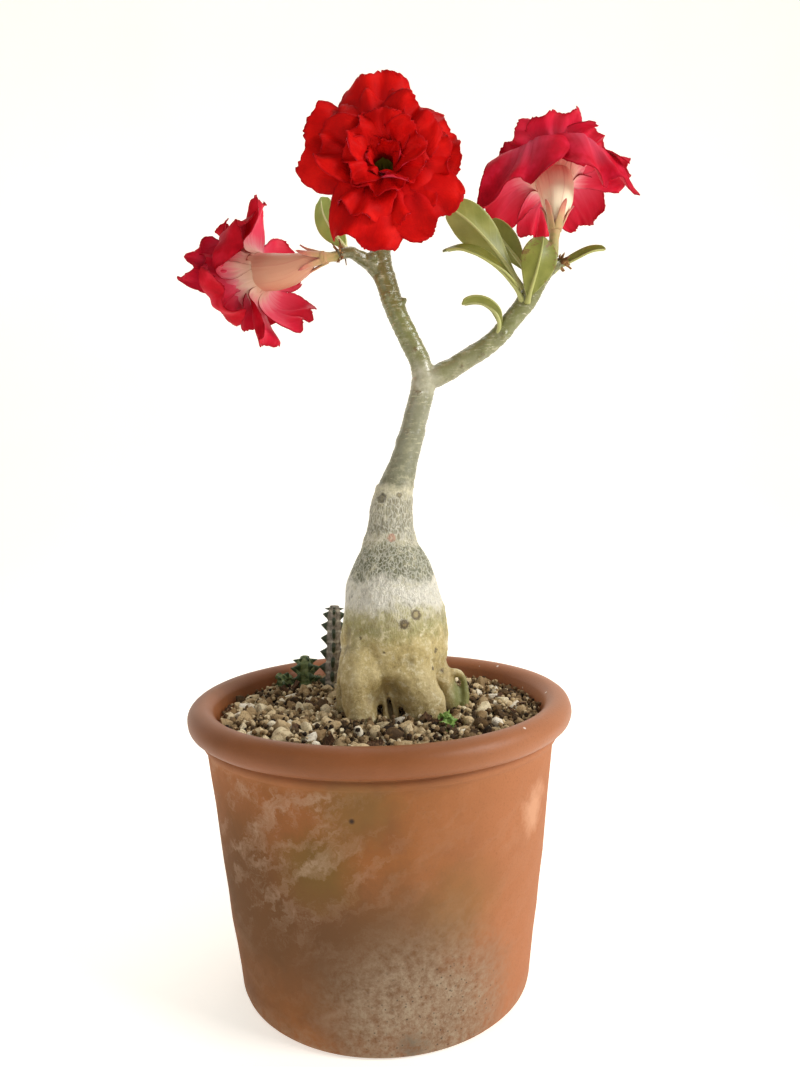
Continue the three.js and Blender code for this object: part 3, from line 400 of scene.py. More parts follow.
def succulentBark():  # living bark: waxy silver-olive above, netted with cork below, ochre on the foot
    shader = {"Roughness": 0.5, "Specular IOR Level": 0.7}
    material, skin, add, place = startMaterial("succulent_bark", shader)
    drift = add("TexNoise", {"Vector": place, "Scale": 1 / 13, "Detail": 4, "Roughness": 0.6})
    height = add("SeparateXYZ", {0: place}, 2)
    level = add("MapRange", {0: drift, 1: 0.2, 2: 0.8, 3: -7, 4: 7})
    level = add("Math", {0: height, 1: level}, operation="ADD")
    low, span = 120, 300
    level = add("MapRange", {0: level, 1: low, 2: low + span, 3: 0, 4: 1})
    bands = [(126, "#6b5530"), (140, "#9f8b5a"), (158, "#bea86c"), (178, "#cab576"), (186, "#9f9654"),
             (194, "#b2aa78"), (200, "#efeada"), (209, "#ece7d6"), (214, "#6f7054"), (226, "#777859"),
             (231, "#c4bc9e"), (236, "#95917a"), (250, "#9c967c"), (257, "#cac2a2"), (262, "#7c7b5e"),
             (300, "#8f8d72"), (316, "#83815a"), (340, "#787a46"), (362, "#6f6f3e"), (372, "#5f5c33"),
             (400, "#6f6c3e")]
    base = add("ValToRGB", {0: level}, stops=[((z - low) / span, shade) for z, shade in bands])
    mottle = add("TexNoise", {"Vector": place, "Scale": 1 / 4.2, "Detail": 5, "Roughness": 0.7})
    even = add("MapRange", {0: height, 1: 255, 2: 275, 3: 1, 4: 0.3})  # the shoots are less blotched
    shady = peaksWithin(add, mottle, 0.48, 0.34, 0.5, even)
    pale = peaksWithin(add, mottle, 0.52, 0.64, 0.65, even)
    aged = add("MapRange", {0: height, 1: 202, 2: 184, 3: 0, 4: 1})
    for share, above, below in ((shady, "#5d5637", "#86692f"), (pale, "#cfc7a4", "#eee2b8")):
        patch = add("Mix", {0: aged, 6: linear(above), 7: linear(below)}, 2, data_type="RGBA")
        base = add("Mix", {0: share, 6: base, 7: patch}, 2, data_type="RGBA")
    # the net of corky ridges: tall narrow meshes, strong on the neck and the shoulders
    tall = add("Mapping", {"Vector": place, "Scale": (1 / 1.5, 1 / 1.5, 1 / 3.6)})
    bend = add("TexNoise", {"Vector": tall, "Scale": 0.7, "Detail": 2}, 1)
    sway = add("VectorMath", {0: bend, "Scale": 1.8}, operation="SCALE")
    tall = add("VectorMath", {0: tall, 1: sway}, operation="ADD")
    net = add("TexVoronoi", {"Vector": tall, "Scale": 1}, feature="DISTANCE_TO_EDGE")
    ridge = add("MapRange", {0: net, 1: 0.03, 2: 0.16, 3: 1, 4: 0})
    strength = [(176, "#161616"), (192, "#808080"), (203, "#ffffff"), (214, "#c8c8c8"), (250, "#c8c8c8"),
                (260, "#505050"), (285, "#202020"), (400, "#101010")]
    where = add("ValToRGB", {0: level}, stops=[((z - low) / span, shade) for z, shade in strength])
    netted = add("Math", {0: ridge, 1: where}, operation="MULTIPLY")
    cork = add("Math", {0: netted, 1: 0.85}, operation="MULTIPLY")
    pit = peaksWithin(add, net, 0.2, 0.45, 0.5, where)
    coats = [(cork, "#f3eedd"), (pit, "#75724f")]
    # speckles of pale cork and brown on the old foot, and fine cracks where it is worn
    old = add("MapRange", {0: height, 1: 200, 2: 182, 3: 0, 4: 1})
    speck = add("TexNoise", {"Vector": place, "Scale": 1 / 1.3, "Detail": 4, "Roughness": 0.7})
    light = peaksWithin(add, speck, 0.56, 0.7, 0.7, old)
    brown = peaksWithin(add, speck, 0.4, 0.28, 0.7, old)
    sway = add("VectorMath", {0: bend, "Scale": 7}, operation="SCALE")
    bent = add("VectorMath", {0: place, 1: sway}, operation="ADD")
    crackle = add("TexVoronoi", {"Vector": bent, "Scale": 1 / 3.6}, feature="DISTANCE_TO_EDGE")
    worn = peaksWithin(add, drift, 0.46, 0.66, 0.8, old)
    crackle = peaksWithin(add, crackle, 0.06, 0.01, 0.7, worn)
    coats += [(light, "#e0d2a2"), (brown, "#7a6034"), (crackle, "#8a6f3a")]
    # painted shade: dark between the legs and darker where the skin dips in;
    # a painted highlight: paler on its swellings
    legGapShade = nearSpot(add, place, (4.6, -8.5, 149), 12, 8, high=0.85)
    swell = add("Attribute", {}, "Fac", attribute_name="swell")
    dipShade = add("MapRange", {0: swell, 1: -0.3, 2: -1.3, 3: 0, 4: 0.6})
    swellingHighlight = peaksWithin(add, swell, 0.2, 1.4, 0.6, old)
    coats += [(legGapShade, "#33271a"), (dipShade, "#5b4a2a"), (swellingHighlight, "#e2d09a")]
    # silver cork on the fork, a loop root that is still green, short level cracks round trunk and branches
    silver = nearSpot(add, place, (26.5, -4, 314), 11, 5)
    silver = add("Math", {0: silver, 1: mottle}, operation="MULTIPLY")
    green = nearSpot(add, place, (45, -8, 149), 12, 6, high=0.7)
    flat = add("Mapping", {"Vector": place, "Scale": (1 / 5, 1 / 5, 1 / 1.1)})
    crack = add("TexNoise", {"Vector": flat, "Scale": 1, "Detail": 3, "Roughness": 0.55})
    young = add("MapRange", {0: height, 1: 228, 2: 262, 3: 0, 4: 1})
    crack = peaksWithin(add, crack, 0.6, 0.7, 0.75, young)
    coats += [(silver, "#c9c4ae"), (green, "#7e8a48"), (crack, "#c2bc98")]
    # scars: a dark ring round a lighter middle, brown where leaves fell
    fallen = [[centre, 0.68 * max(size), "#65532f", "#bd9a62"] for centre, size in rose["scars"][:9]]
    ragged = add("MapRange", {0: speck, 1: 0.3, 2: 0.7, 3: -0.5, 4: 0.5})
    for centre, radius, ring, middle in rose["marks"] + fallen:
        far = add("VectorMath", {0: place, 1: centre}, "Value", operation="DISTANCE")
        far = add("Math", {0: far, 1: ragged}, operation="ADD")
        dark = add("MapRange", {0: far, 1: radius * 1.15, 2: radius * 0.8, 3: 0, 4: 0.85})
        core = add("MapRange", {0: far, 1: radius * 0.62, 2: radius * 0.4, 3: 0, 4: 0.85})
        coats += [(dark, ring), (core, middle)]
    relief = add("Math", {0: netted, 1: speck}, operation="ADD")
    relief = add("Math", {0: relief, 1: crack}, operation="ADD")
    relief = add("Math", {0: relief, 1: mottle}, operation="ADD")
    relief = add("Math", {0: relief, 1: crackle}, operation="SUBTRACT")
    calm = add("MapRange", {0: height, 1: 250, 2: 275, 3: 1, 4: 0.35})
    relief = add("Math", {0: relief, 1: calm}, operation="MULTIPLY")
    rough = add("MapRange", {0: height, 1: 250, 2: 285, 3: 0.54, 4: 0.27})
    return joinSkin(material, skin, add, base, rough, relief, 0.42, coats)


def growLimbs():  # all limbs run together in one closed mesh, cut off flat in the mix
    mesh = bmesh.new()
    stemRings = ringsAlong(rose["stem"], 40)

    def lobed(angle, step):  # the stem's broad lobes, which fade upwards
        height = stemRings[step][0].translation.z
        lobes = 0.035 * math.cos(0.9 - 4 * angle) + 0.02 * math.sin(1.7 - 7 * angle)
        return 1 + ease(215, 155, height) * lobes

    extrudeRings(mesh, stemRings, 40, lobed)
    extrudeRings(mesh, ringsAlong(rose["trunk"], 20), 24)
    for line in rose["branches"]:
        extrudeRings(mesh, ringsAlong(line, 5 * len(line)), 20)
    for line in rose["roots"]:
        extrudeRings(mesh, ringsAlong(line, 5 * len(line)), 24)
    extrudeRings(mesh, ringsAlong(rose["loopRoot"], 40), 14)
    for centre, size in rose["scars"]:
        spot = Matrix.Translation(centre) @ Matrix.Diagonal((*size, 1))
        bmesh.ops.create_icosphere(mesh, subdivisions=2, radius=1, matrix=spot)
    bmesh.ops.recalc_face_normals(mesh, faces=mesh.faces)
    bmesh.ops.scale(mesh, vec=(mm,) * 3, verts=mesh.verts)
    limbs = linkObject("limbs", mesh)
    join = limbs.modifiers.new("join", "REMESH")
    join.mode, join.voxel_size, join.adaptivity = "VOXEL", rose["voxel"] * mm, 0
    grown = bpy.data.meshes.new_from_object(limbs.evaluated_get(bpy.context.evaluated_depsgraph_get()))
    bpy.data.objects.remove(limbs)
    mesh = bmesh.new()
    mesh.from_mesh(grown)
    bmesh.ops.scale(mesh, vec=(1 / mm,) * 3, verts=mesh.verts)
    everything = mesh.verts[:] + mesh.edges[:] + mesh.faces[:]
    cut = bmesh.ops.bisect_plane(mesh, geom=everything, plane_co=(0, 0, rose["cutHeight"]),
                                 plane_no=(0, 0, -1), clear_outer=True)["geom_cut"]
    bmesh.ops.edgeloop_fill(mesh, edges=[part for part in cut if isinstance(part, bmesh.types.BMEdge)])
    return mesh


def standOut(height, ring):  # a ring round a limb
    centre, width, depth = ring
    return depth * math.exp(-(((height - centre) / width) ** 2))


def makeRose():
    mesh = growLimbs()
    for _ in range(4):  # the joints run into each other
        bmesh.ops.smooth_vert(mesh, verts=mesh.verts, factor=0.5,
                              use_axis_x=True, use_axis_y=True, use_axis_z=True)
    mesh.normal_update()
    swollen = mesh.verts.layers.float.new("swell")
    moves = []
    for vert in mesh.verts:
        spot, height = vert.co, vert.co.z
        foot = 1 - ease(185, 205, height)
        thick = 1 - ease(225, 262, height)
        # swellings, with furrows and knuckles on the foot
        push = rose["swelling"] * thick * noise.noise(spot * 0.06) + 0.4 * noise.noise(spot * 0.16)
        furrow = noise.noise(Vector((spot.x * 0.12, spot.y * 0.12, spot.z * 0.03)))
        push += foot * (0.3 - rose["furrow"] * max(0, furrow))
        knuckle = noise.noise(Vector((spot.x * 0.1, spot.y * 0.1, spot.z * 0.12)))
        push += rose["knuckle"] * foot * knuckle
        push += 0.22 * foot * noise.noise(spot * 0.5)
        # tall wrinkles on the stem, rings on the shoots
        wrinkle = noise.noise(Vector((spot.x * 0.42, spot.y * 0.42, spot.z * 0.12)))
        tall = ease(170, 200, height) * (1 - ease(252, 262, height))
        push += rose["wrinkle"] * (1 - 2.2 * abs(wrinkle)) * tall
        shootRing = noise.noise(Vector((spot.x * 0.2, spot.y * 0.2, spot.z * 0.9)))
        push += rose["shootRing"] * shootRing * ease(236, 262, height)
        # the collar under the trunk and the neck's waist
        push += standOut(height, rose["collar"])
        push += standOut(height, rose["waist"]) * (noise.noise(spot * 0.1) + 0.3)
        vert[swollen] = push
        moves.append(vert.normal * push)
    for vert, move in zip(mesh.verts, moves):
        vert.co += move
    setPiece("rose_stem", mesh, [succulentBark()], ["plant"])
    print("stem grown")


# Blooms: the skirt's petals one by one, by azimuth, then the whorls round the throat
whorls = [
    {"count": 6, "length": 33, "halfWidth": 16, "foot": (7.8, -3), "rise": (22, 92), "bend": (0, 0.8),
     "curl": -14, "ruffle": 5.4, "waves": 5},
    {"count": 6, "length": 27, "halfWidth": 12.5, "foot": (6.6, -2.5), "rise": (6, 72), "bend": (0.1, 0.9),
     "curl": 10, "ruffle": 4.8, "waves": 5},
    {"count": 4, "length": 17, "halfWidth": 8, "foot": (5.2, -3), "rise": (0, 50), "bend": (0.2, 1),
     "curl": 30, "ruffle": 3, "waves": 3},
]
skirt = {"foot": (9.4, -4), "ruffle": 4.6, "waves": 5}
blooms = {
    "front": {
        "size": 0.96, "openness": 1, "throat": (8, -41, 407.5), "axis": (-0.02, -0.99, 0.05),
        "turn": 52, "seed": 31,
        # azimuth, length, half width, lean at foot and tip, where it bends, curl of its margins,
        # and how far its tip swings aside
        "skirt": [
            (94, 43, 20, (24, 98), (0, 0.6), (-20, -30)),
            (22, 37, 20, (24, 96), (0, 0.6), (-20, -20)),
            (-46, 42, 20, (24, 94), (0, 0.6), (-30, -20)),
            (-108, 44, 20, (24, 96), (0, 0.6), (-20, -30)),
            (164, 40, 22, (24, 92), (0, 0.6), (-30, -20)),
        ],
        "tube": [[8.2, 2, 404, 2.3], [8.3, -2.6, 405.2, 2.7], [8.3, -9, 406.5, 5.4], [8.2, -18, 407.3, 7.8],
                 [8, -29, 407.4, 9], [8, -37, 407.5, 9.5], [8, -40.2, 407.5, 10.8]],
        "stalk": [[7.2, 10.6, 398, 3], [7.8, 6.4, 402.4, 2.6], [8.1, 2.6, 403.8, 3]],
        "tubeShades": ("#b5564c", "#dca084", "#f0cdb4"),
        # dark, middle, light, painted shade at the foot, painted glow along the midline
        "faceShades": ("#a60404", "#be0705", "#d2120b", "#820407", "#c8141a"),
    },
    "left": {
        "size": 0.88, "openness": 0.86, "throat": (-59.4, 11.6, 373.6), "axis": (-0.84, 0.53, -0.08),
        "turn": 8, "seed": 32,
        "skirt": [
            (88, 41, 15, (30, 116), (0, 0.45), (-110, 20)),
            (44, 51, 24, (24, 176), (0.15, 0.65), (-30, -40)),
            (6, 44, 16, (20, 96), (0.1, 1), (10, -60)),
            (322, 56, 21, (24, 170), (0.25, 0.75), (-30, -30)),
            (270, 43, 14, (24, 98), (0, 0.4), (20, -110)),
            (228, 48, 15, (24, 150), (0, 0.5), (-20, -20)),
            (160, 43, 17, (24, 112), (0, 0.6), (-30, -30)),
        ],
        "tube": [[-23.6, -8, 375.4, 2.3], [-28, -7, 375.2, 3], [-33.6, -4.4, 373.6, 5.8],
                 [-40.4, 0, 372.2, 8], [-49, 5.4, 372.4, 9.4], [-56, 9.6, 373.3, 9.7],
                 [-59, 11.4, 373.6, 10.9]],
        "stalk": [[-15.8, -6, 376.8, 2.6], [-19.4, -7.2, 376, 2.4], [-22.8, -8, 375.4, 3]],
        "tubeShades": ("#b8605a", "#d99c7e", "#dcae92"),
        "faceShades": ("#a8081a", "#c00c20", "#d62036", "#98081a", "#ea5e76"),
    },
    "right": {
        "size": 0.94, "openness": 0.9, "throat": (99.4, 13, 422), "axis": (0.02, 0.53, 0.85),
        "turn": 30, "seed": 33,
        "skirt": [
            (60, 58, 24, (20, 187), (0.04, 0.54), (50, -30), -20),
            (118, 58, 24, (20, 187), (0.04, 0.54), (-30, 50), 20),
            (178, 45, 16, (24, 118), (0, 0.7), (-30, -60)),
            (232, 47, 16, (24, 128), (0, 0.7), (-30, -70)),
            (276, 45, 14, (24, 128), (0, 0.6), (-20, -20)),
            (322, 47, 17, (24, 124), (0, 0.7), (-50, -20)),
        ],
        "tube": [[95.6, -7.4, 389.6, 2.3], [95.9, -7.2, 392.6, 2.9], [96.8, -5.6, 398.4, 6],
                 [98.2, -1.2, 405, 8.2], [99.2, 5.2, 413.4, 9.3], [99.3, 10.6, 419.2, 9.5],
                 [99.4, 12.6, 421.6, 10.8]],
        "stalk": [[93.4, -9.6, 374, 3], [94.6, -8.6, 382.6, 2.5], [95.4, -7.7, 388.2, 3.1]],
        # the last shade, salmon-brown at the mouth, is the painted shadow of the petals above
        "tubeShades": ("#d08a78", "#f6e4c2", "#cf9f80"),
        "faceShades": ("#a80a20", "#c01028", "#d42340", "#a00c22", "#e4607a"),
    },
}
petalLook = {
    "across": 34,
    "along": 30,
    "steps": 24,  # along the midline
    "crimp": 0.9,  # height of the small waves in the margin
    "crumple": 3.2,  # height of the soft dents
    "tooth": 1.1,  # depth of the teeth in the margin
    "limp": 1.7,  # how much more the hanging flaps ruffle
    "thickness": 0.5,
}
throat = {"tubeSteps": 30, "steps": 12, "depth": 20, "foot": 2.6, "mouth": 6.6, "flare": 1.6}
sepal = {
    "halfWidth": 1.8,
    "spread": [(2.6, -2.4), (3.7, 1.4), (5, 4.8), (6.3, 8.2), (8.4, 11.4)],  # radius, height
    "cup": [(3.3, -1.2), (3.5, 0.6)],  # where the stalk ends
}


def sheetMap(add):  # off the midline, along, and how near the margin, from a sheet's UV map
    spread = add("TexCoord", {}, "UV")
    u, v = [add("SeparateXYZ", {0: spread}, axis) for axis in (0, 1)]
    aside = add("Math", {0: u, 1: 0.5}, operation="SUBTRACT")
    aside = add("Math", {0: aside}, operation="ABSOLUTE")
    margin = add("Math", {0: v, 1: 0.5}, operation="MULTIPLY")
    margin = add("Math", {0: aside, 1: margin}, operation="MAXIMUM")
    return spread, aside, v, margin


def petalVelvet(name, shades):  # a petal's face: velvety red, darker to the throat and along its edge
    material, skin, add, place = startMaterial("petal_velvet_" + name, {
        "Roughness": 0.6, "IOR": 1.4, "Specular IOR Level": 0.1, "Sheen Weight": 0.03, "Sheen Roughness": 0.4,
        "Sheen Tint": linear("#ff5a50")})
    spread, aside, v, margin = sheetMap(add)
    dark, middle, light, throatShade, glowShade = shades
    cloud = add("TexNoise", {"Vector": place, "Scale": 1 / 11, "Detail": 3, "Roughness": 0.55})
    red = add("ValToRGB", {0: cloud}, stops=[(0.3, dark), (0.5, middle), (0.7, light)])
    streak = add("Mapping", {"Vector": spread, "Scale": (20, 1.4, 1)})
    streak = add("TexNoise", {"Vector": streak, "Scale": 1, "Detail": 3})
    # painted light: a glow of light through the petal, along its midline
    paintedGlow = peaksWithin(add, aside, 0.34, 0.04, 1, streak)
    paintedGlow = peaksWithin(add, v, 0.8, 0.4, 1.3, paintedGlow)
    # painted shade: darker down towards the throat
    foot = add("MapRange", {0: v, 1: 0.45, 2: 0.05, 3: 0, 4: 0.75})
    rim = add("MapRange", {0: margin, 1: 0.46, 2: 0.5, 3: 0, 4: 0.4})
    veins = add("Mapping", {"Vector": spread, "Scale": (34, 2.2, 1)})
    veins = add("TexNoise", {"Vector": veins, "Scale": 1, "Detail": 2})
    coats = [(paintedGlow, glowShade), (foot, throatShade), (rim, "#7e0515")]
    return joinSkin(material, skin, add, red, None, veins, 0.16, coats)


def petalBack():  # the back of a petal: rose pink, washed out to cream at its claw
    material, skin, add, _ = startMaterial("petal_back", {
        "Roughness": 0.5, "IOR": 1.4, "Specular IOR Level": 0.3, "Sheen Weight": 0.2, "Sheen Roughness": 0.4,
        "Sheen Tint": linear("#ff9aa8")})
    spread, _, v, margin = sheetMap(add)
    streak = add("Mapping", {"Vector": spread, "Scale": (22, 1.6, 1)})
    streak = add("TexNoise", {"Vector": streak, "Scale": 1, "Detail": 3})
    wash = add("MapRange", {0: streak, 1: 0.25, 2: 0.75, 3: -0.06, 4: 0.06})
    wash = add("Math", {0: v, 1: wash}, operation="ADD")
    pink = add("ValToRGB", {0: wash}, stops=[
        (0.02, "#e2bca0"), (0.13, "#f2cdb9"), (0.26, "#f0909a"), (0.42, "#ea4a66"), (0.72, "#de2242"),
        (1.0, "#c40e28")])
    rim = add("MapRange", {0: margin, 1: 0.46, 2: 0.5, 3: 0, 4: 0.45})
    return joinSkin(material, skin, add, pink, None, streak, 0.16, [(rim, "#8e0c20")])


def tubeSkin(name, shades):  # the tube: thin waxy flesh, red-streaked at the sepals, yellow-green inside
    shader = {"Roughness": 0.45, "IOR": 1.42, "Specular IOR Level": 0.35}
    material, skin, add, _ = startMaterial("tube_" + name, shader)
    skinAt = add("Attribute", {}, "Vector", attribute_name="skin")
    along = add("SeparateXYZ", {0: skinAt}, 2)
    streak = add("Mapping", {"Vector": skinAt, "Scale": (5, 5, 0.9)})
    streak = add("TexNoise", {"Vector": streak, "Scale": 1, "Detail": 3})
    level = add("MapRange", {0: streak, 1: 0.25, 2: 0.75, 3: -0.09, 4: 0.09})
    level = add("Math", {0: along, 1: level}, operation="ADD")
    level = add("Math", {0: level, 1: 0.5}, operation="MULTIPLY")
    near, middle, far = shades
    # inside the mouth, dark red and then olive darkening deep down: painted shade in the throat
    colour = add("ValToRGB", {0: level}, stops=[
        (0.03, near), (0.12, middle), (0.3, middle), (0.48, far), (0.52, "#8a0c0c"), (0.57, "#8d7a28"),
        (0.64, "#a8a23c"), (0.8, "#8f8a2e"), (0.97, "#4f4a18")])
    vein = add("MapRange", {0: streak, 1: 0.56, 2: 0.74, 3: 0, 4: 0.4})
    return joinSkin(material, skin, add, colour, None, streak, 0.35, [(vein, "#c86a5c")])


def sepalFlesh():  # sepals and stalks: downy, salmon with green feet
    shader = {"Roughness": 0.6, "IOR": 1.4, "Sheen Weight": 0.3}
    material, skin, add, place = startMaterial("sepal_flesh", shader)
    down = add("TexNoise", {"Vector": place, "Scale": 1 / 2.2, "Detail": 3})
    along = add("Attribute", {}, "Fac", attribute_name="along")
    level = add("MapRange", {0: down, 1: 0.3, 2: 0.7, 3: -0.1, 4: 0.1})
    level = add("Math", {0: along, 1: level}, operation="ADD")
    colour = add("ValToRGB", {0: level}, stops=[
        (0.0, "#8d9450"), (0.25, "#b39c62"), (0.5, "#cf9a74"), (0.8, "#cf7f68"), (1.0, "#b5574c")])
    return joinSkin(material, skin, add, colour, None, down, 0.2)


def petalSpine(foot, length, rise, bend):  # out, up and lean in equal steps along a petal's midline
    (out, up), spine, steps = foot, [], petalLook["steps"]
    for k in range(steps + 1):
        lean = math.radians(rise[0] + (rise[1] - rise[0]) * ease(*bend, k / steps))
        spine.append((out, up, lean))
        out, up = out + length / steps * math.sin(lean), up + length / steps * math.cos(lean)
    return spine


def petalSpine(foot, length, rise, bend):  # out, up and lean in equal steps along a petal's midline
    (out, up), spine = foot, []
    for k in range(25):
        lean = math.radians(rise[0] + (rise[1] - rise[0]) * ease(*bend, k / 24))
        spine.append((out, up, lean))
        out, up = out + length / 24 * math.sin(lean), up + length / 24 * math.cos(lean)
    return spine


def petalPoint(petal, u, v):  # a petal's surface in its bloom's own frame, u across and v along
    # teeth and lobes of the margin
    grit = noise.noise(Vector((u * 9, v * 9, petal["phase"] * 3)))
    fine = noise.noise(Vector((u * 23, v * 23, petal["phase"])))
    tooth = petalLook["tooth"] / petal["length"] * max(abs(u), v) ** 10 * (grit + 0.8 * fine)
    turn = math.atan2(u, v - 0.3)
    lobe = 0.04 * math.sin(0.8 * petal["waves"] * turn + 1.7 * petal["phase"])
    s = v * (1 - (0.12 - lobe) * max(abs(u), v) ** 3 * v) * (1 + tooth * v)
    place = min(max(s, 0), 1) * petalLook["steps"]
    k = min(int(place), petalLook["steps"] - 1)
    out, up, lean = [a + (b - a) * (place - k) for a, b in zip(petal["spine"][k], petal["spine"][k + 1])]
    # its width, narrow at the claw and round at the end
    spread = 0.4 + 0.6 * math.sin(math.pi / 2 * min(1, s / 0.6))
    end = math.sqrt(max(0.1, 1 - 0.86 * ((s - 0.6) / 0.4) ** 2)) if s > 0.6 else 1
    width = petal["halfWidth"] * spread * end * (1 + 1.6 * tooth)
    # each margin curls on an arc
    curl = math.radians(petal["curl"][0 if u < 0 else 1]) * ease(0.05, 0.7, s)
    bent = curl * abs(u)
    side, off = width * abs(u), 0
    if abs(curl) > 0.02:
        side, off = width * math.sin(bent) / curl, width * (1 - math.cos(bent)) / curl
    # waves at the margin, soft dents
    margin = max(0, v) ** 1.4 * (0.25 + 0.75 * abs(u) ** 1.5)
    wave = petal["ruffle"] * margin * math.sin(petal["waves"] * turn + petal["phase"])
    crimped = math.sin(3.1 * petal["waves"] * turn + 2 * petal["phase"] + 2 * grit)
    wave += petalLook["crimp"] * margin * margin * crimped
    wave += petalLook["crumple"] * v * noise.noise(Vector((u * 1.7, v * 2.3, petal["phase"] * 5)))
    side -= wave * math.sin(bent)
    off += wave * math.cos(bent)
    side = math.copysign(side, u)
    # the claw hugs the throat
    hug = max(0, 1 - s)
    angle = petal["azimuth"] + hug * side / out
    far, beside = out - off * math.cos(lean), side * (1 - hug) + petal["swing"] * s * s
    sine, cosine = math.sin(angle), math.cos(angle)
    return Vector((far * cosine - beside * sine, far * sine + beside * cosine, up + off * math.sin(lean)))


def petalsOf(bloom):
    draw = seeded(bloom["seed"])
    rows = [(skirt, *row, 0)[:8] for row in bloom["skirt"]]
    for layer, whorl in enumerate(whorls):
        for k in range(whorl["count"]):
            azimuth = bloom["turn"] + 360 / whorl["count"] * (k + layer / 2) + 16 * (draw() - 0.5)
            rise = (whorl["rise"][0], whorl["rise"][1] * bloom["openness"] + 24 * (draw() - 0.5))
            curl = [whorl["curl"] + 50 * (draw() - 0.5) for _ in range(2)]
            rows.append((whorl, azimuth, whorl["length"], whorl["halfWidth"], rise, whorl["bend"], curl, 0))
    made = []
    for kind, azimuth, length, halfWidth, rise, bend, curl, swing in rows:
        petal = {"azimuth": math.radians(azimuth), "curl": curl, "swing": swing}
        petal["ruffle"] = kind["ruffle"] * (petalLook["limp"] if swing else 1)
        petal["length"] = length * bloom["size"] * (0.95 + 0.1 * draw())
        petal["halfWidth"] = halfWidth * bloom["size"] * (0.95 + 0.1 * draw())
        petal["waves"] = kind["waves"] + int(2 * draw())
        petal["phase"] = 6.28 * draw()
        petal["spine"] = petalSpine(kind["foot"], petal["length"], rise, bend)
        made.append(petal)
    return made


def bloomFrame(bloom):  # turns +Z into the bloom's axis
    along = Vector(bloom["axis"]).normalized()
    across = Vector((1, 0, 0)) if abs(along.z) > 0.95 else Vector((0, 0, 1))
    side = across.cross(along).normalized()
    turn = Matrix((side, along.cross(side), along)).transposed().to_4x4()
    return Matrix.Translation(bloom["throat"]) @ turn


def sheetOver(mesh, across, along, place):  # a grid whose points are moved onto a surface, with its UV map
    made = bmesh.ops.create_grid(mesh, x_segments=across, y_segments=along, size=1, calc_uvs=True)["verts"]
    for vert in made:
        vert.co = place(vert.co.x, (vert.co.y + 1) / 2)
    return made


def openPetals(name, bloom, back):
    turned = bloomFrame(bloom)
    mesh = bmesh.new()
    mesh.loops.layers.uv.new("petal")
    across, along = petalLook["across"], petalLook["along"]
    for petal in petalsOf(bloom):
        sheetOver(mesh, across, along, lambda u, v: turned @ petalPoint(petal, u, v))
    face = petalVelvet(name, bloom["faceShades"])
    petals = setPiece("petals_" + name, mesh, [back, face], ["bloom_" + name])
    thicken(petals, petalLook["thickness"], 1)
    petals.modifiers["thickness"].material_offset_rim = 1


def makeTube(name, bloom):  # the tube, then its lining down the throat
    turned = bloomFrame(bloom)
    outer = ringsAlong(bloom["tube"], throat["tubeSteps"])
    lining, steps = [], throat["steps"]
    for k in range(steps + 1):
        depth = throat["depth"] * k / steps
        radius = throat["mouth"] + throat["flare"] * (1 - k / steps) ** 3
        radius += (throat["foot"] - throat["mouth"]) * k / steps
        lining.append((turned @ Matrix.Translation((0, 0, -depth)), radius))

    def ribbed(angle, step):  # five faint ribs outside
        return 1 + (0.018 * math.cos(5 * angle) if step < len(outer) else 0)

    mesh = bmesh.new()
    skin = mesh.verts.layers.float_vector.new("skin")
    rings = outer + lining
    for step, ring in enumerate(extrudeRings(mesh, rings, 40, ribbed)):
        past = step - throat["tubeSteps"]
        along = step / throat["tubeSteps"] if past <= 0 else 1 + past / len(lining)
        place = rings[step][0].inverted()
        for vert in ring:
            spot = place @ vert.co
            turn = math.atan2(spot.y, spot.x)
            vert[skin] = (math.cos(turn), math.sin(turn), along)
    outwards(mesh)
    setPiece("tube_" + name, mesh, [tubeSkin(name, bloom["tubeShades"])], ["bloom_" + name])


def makeSepals(name, bloom, flesh):  # five sepals on the stalk's end
    mesh = bmesh.new()
    share = mesh.verts.layers.float.new("along")
    foot, ahead = [Vector(point[:3]) for point in bloom["tube"][:2]]
    base = Matrix.Translation(foot) @ (ahead - foot).to_track_quat("Z", "Y").to_matrix().to_4x4()
    profile = [Vector((radius, 0, height)) for radius, height in sepal["spread"]]
    for k in range(5):
        lean = Matrix.Rotation(math.tau * (k + 0.3) / 5, 4, "Z")

        def sepalPoint(u, v):
            spot = onCurve(profile, v)
            width = sepal["halfWidth"] * (1.15 - 0.3 * v) * math.sqrt(max(0.004, 1 - v**3.2))
            angle = u * width / max(spot.x, 2)
            curl = 0.5 * u * u * width * v
            near = spot.x - curl * 0.4
            return base @ lean @ Vector((near * math.cos(angle), spot.x * math.sin(angle), spot.z))

        sheetOver(mesh, 6, 14, sepalPoint)
    for vert in mesh.verts:
        vert[share] = 0.35 + 0.65 * ease(0, 13, (base.inverted() @ vert.co).z)
    bmesh.ops.recalc_face_normals(mesh, faces=mesh.faces)
    bmesh.ops.solidify(mesh, geom=mesh.faces[:], thickness=0.7)
    cup = [(base @ Matrix.Translation((0, 0, lift)), radius) for radius, lift in sepal["cup"]]
    stalkRings = extrudeRings(mesh, ringsAlong(bloom["stalk"], 14) + cup, 16)
    for step, ring in enumerate(stalkRings):
        for vert in ring:
            vert[share] = 0.1 + 0.3 * step / len(stalkRings)
    setPiece("sepals_" + name, mesh, [flesh], ["calyx_" + name])


def makeBlooms():
    back, flesh = petalBack(), sepalFlesh()
    for name, bloom in blooms.items():
        openPetals(name, bloom, back)
        makeTube(name, bloom)
        makeSepals(name, bloom, flesh)
    print("blooms opened")


# Stamens: a cone low in the throat, a long twisted hair on each anther
stamens = {"steps": 10, "height": 12, "radius": 1.9, "anthers": 5, "hairFoot": -8.5, "hairStep": 1.7}


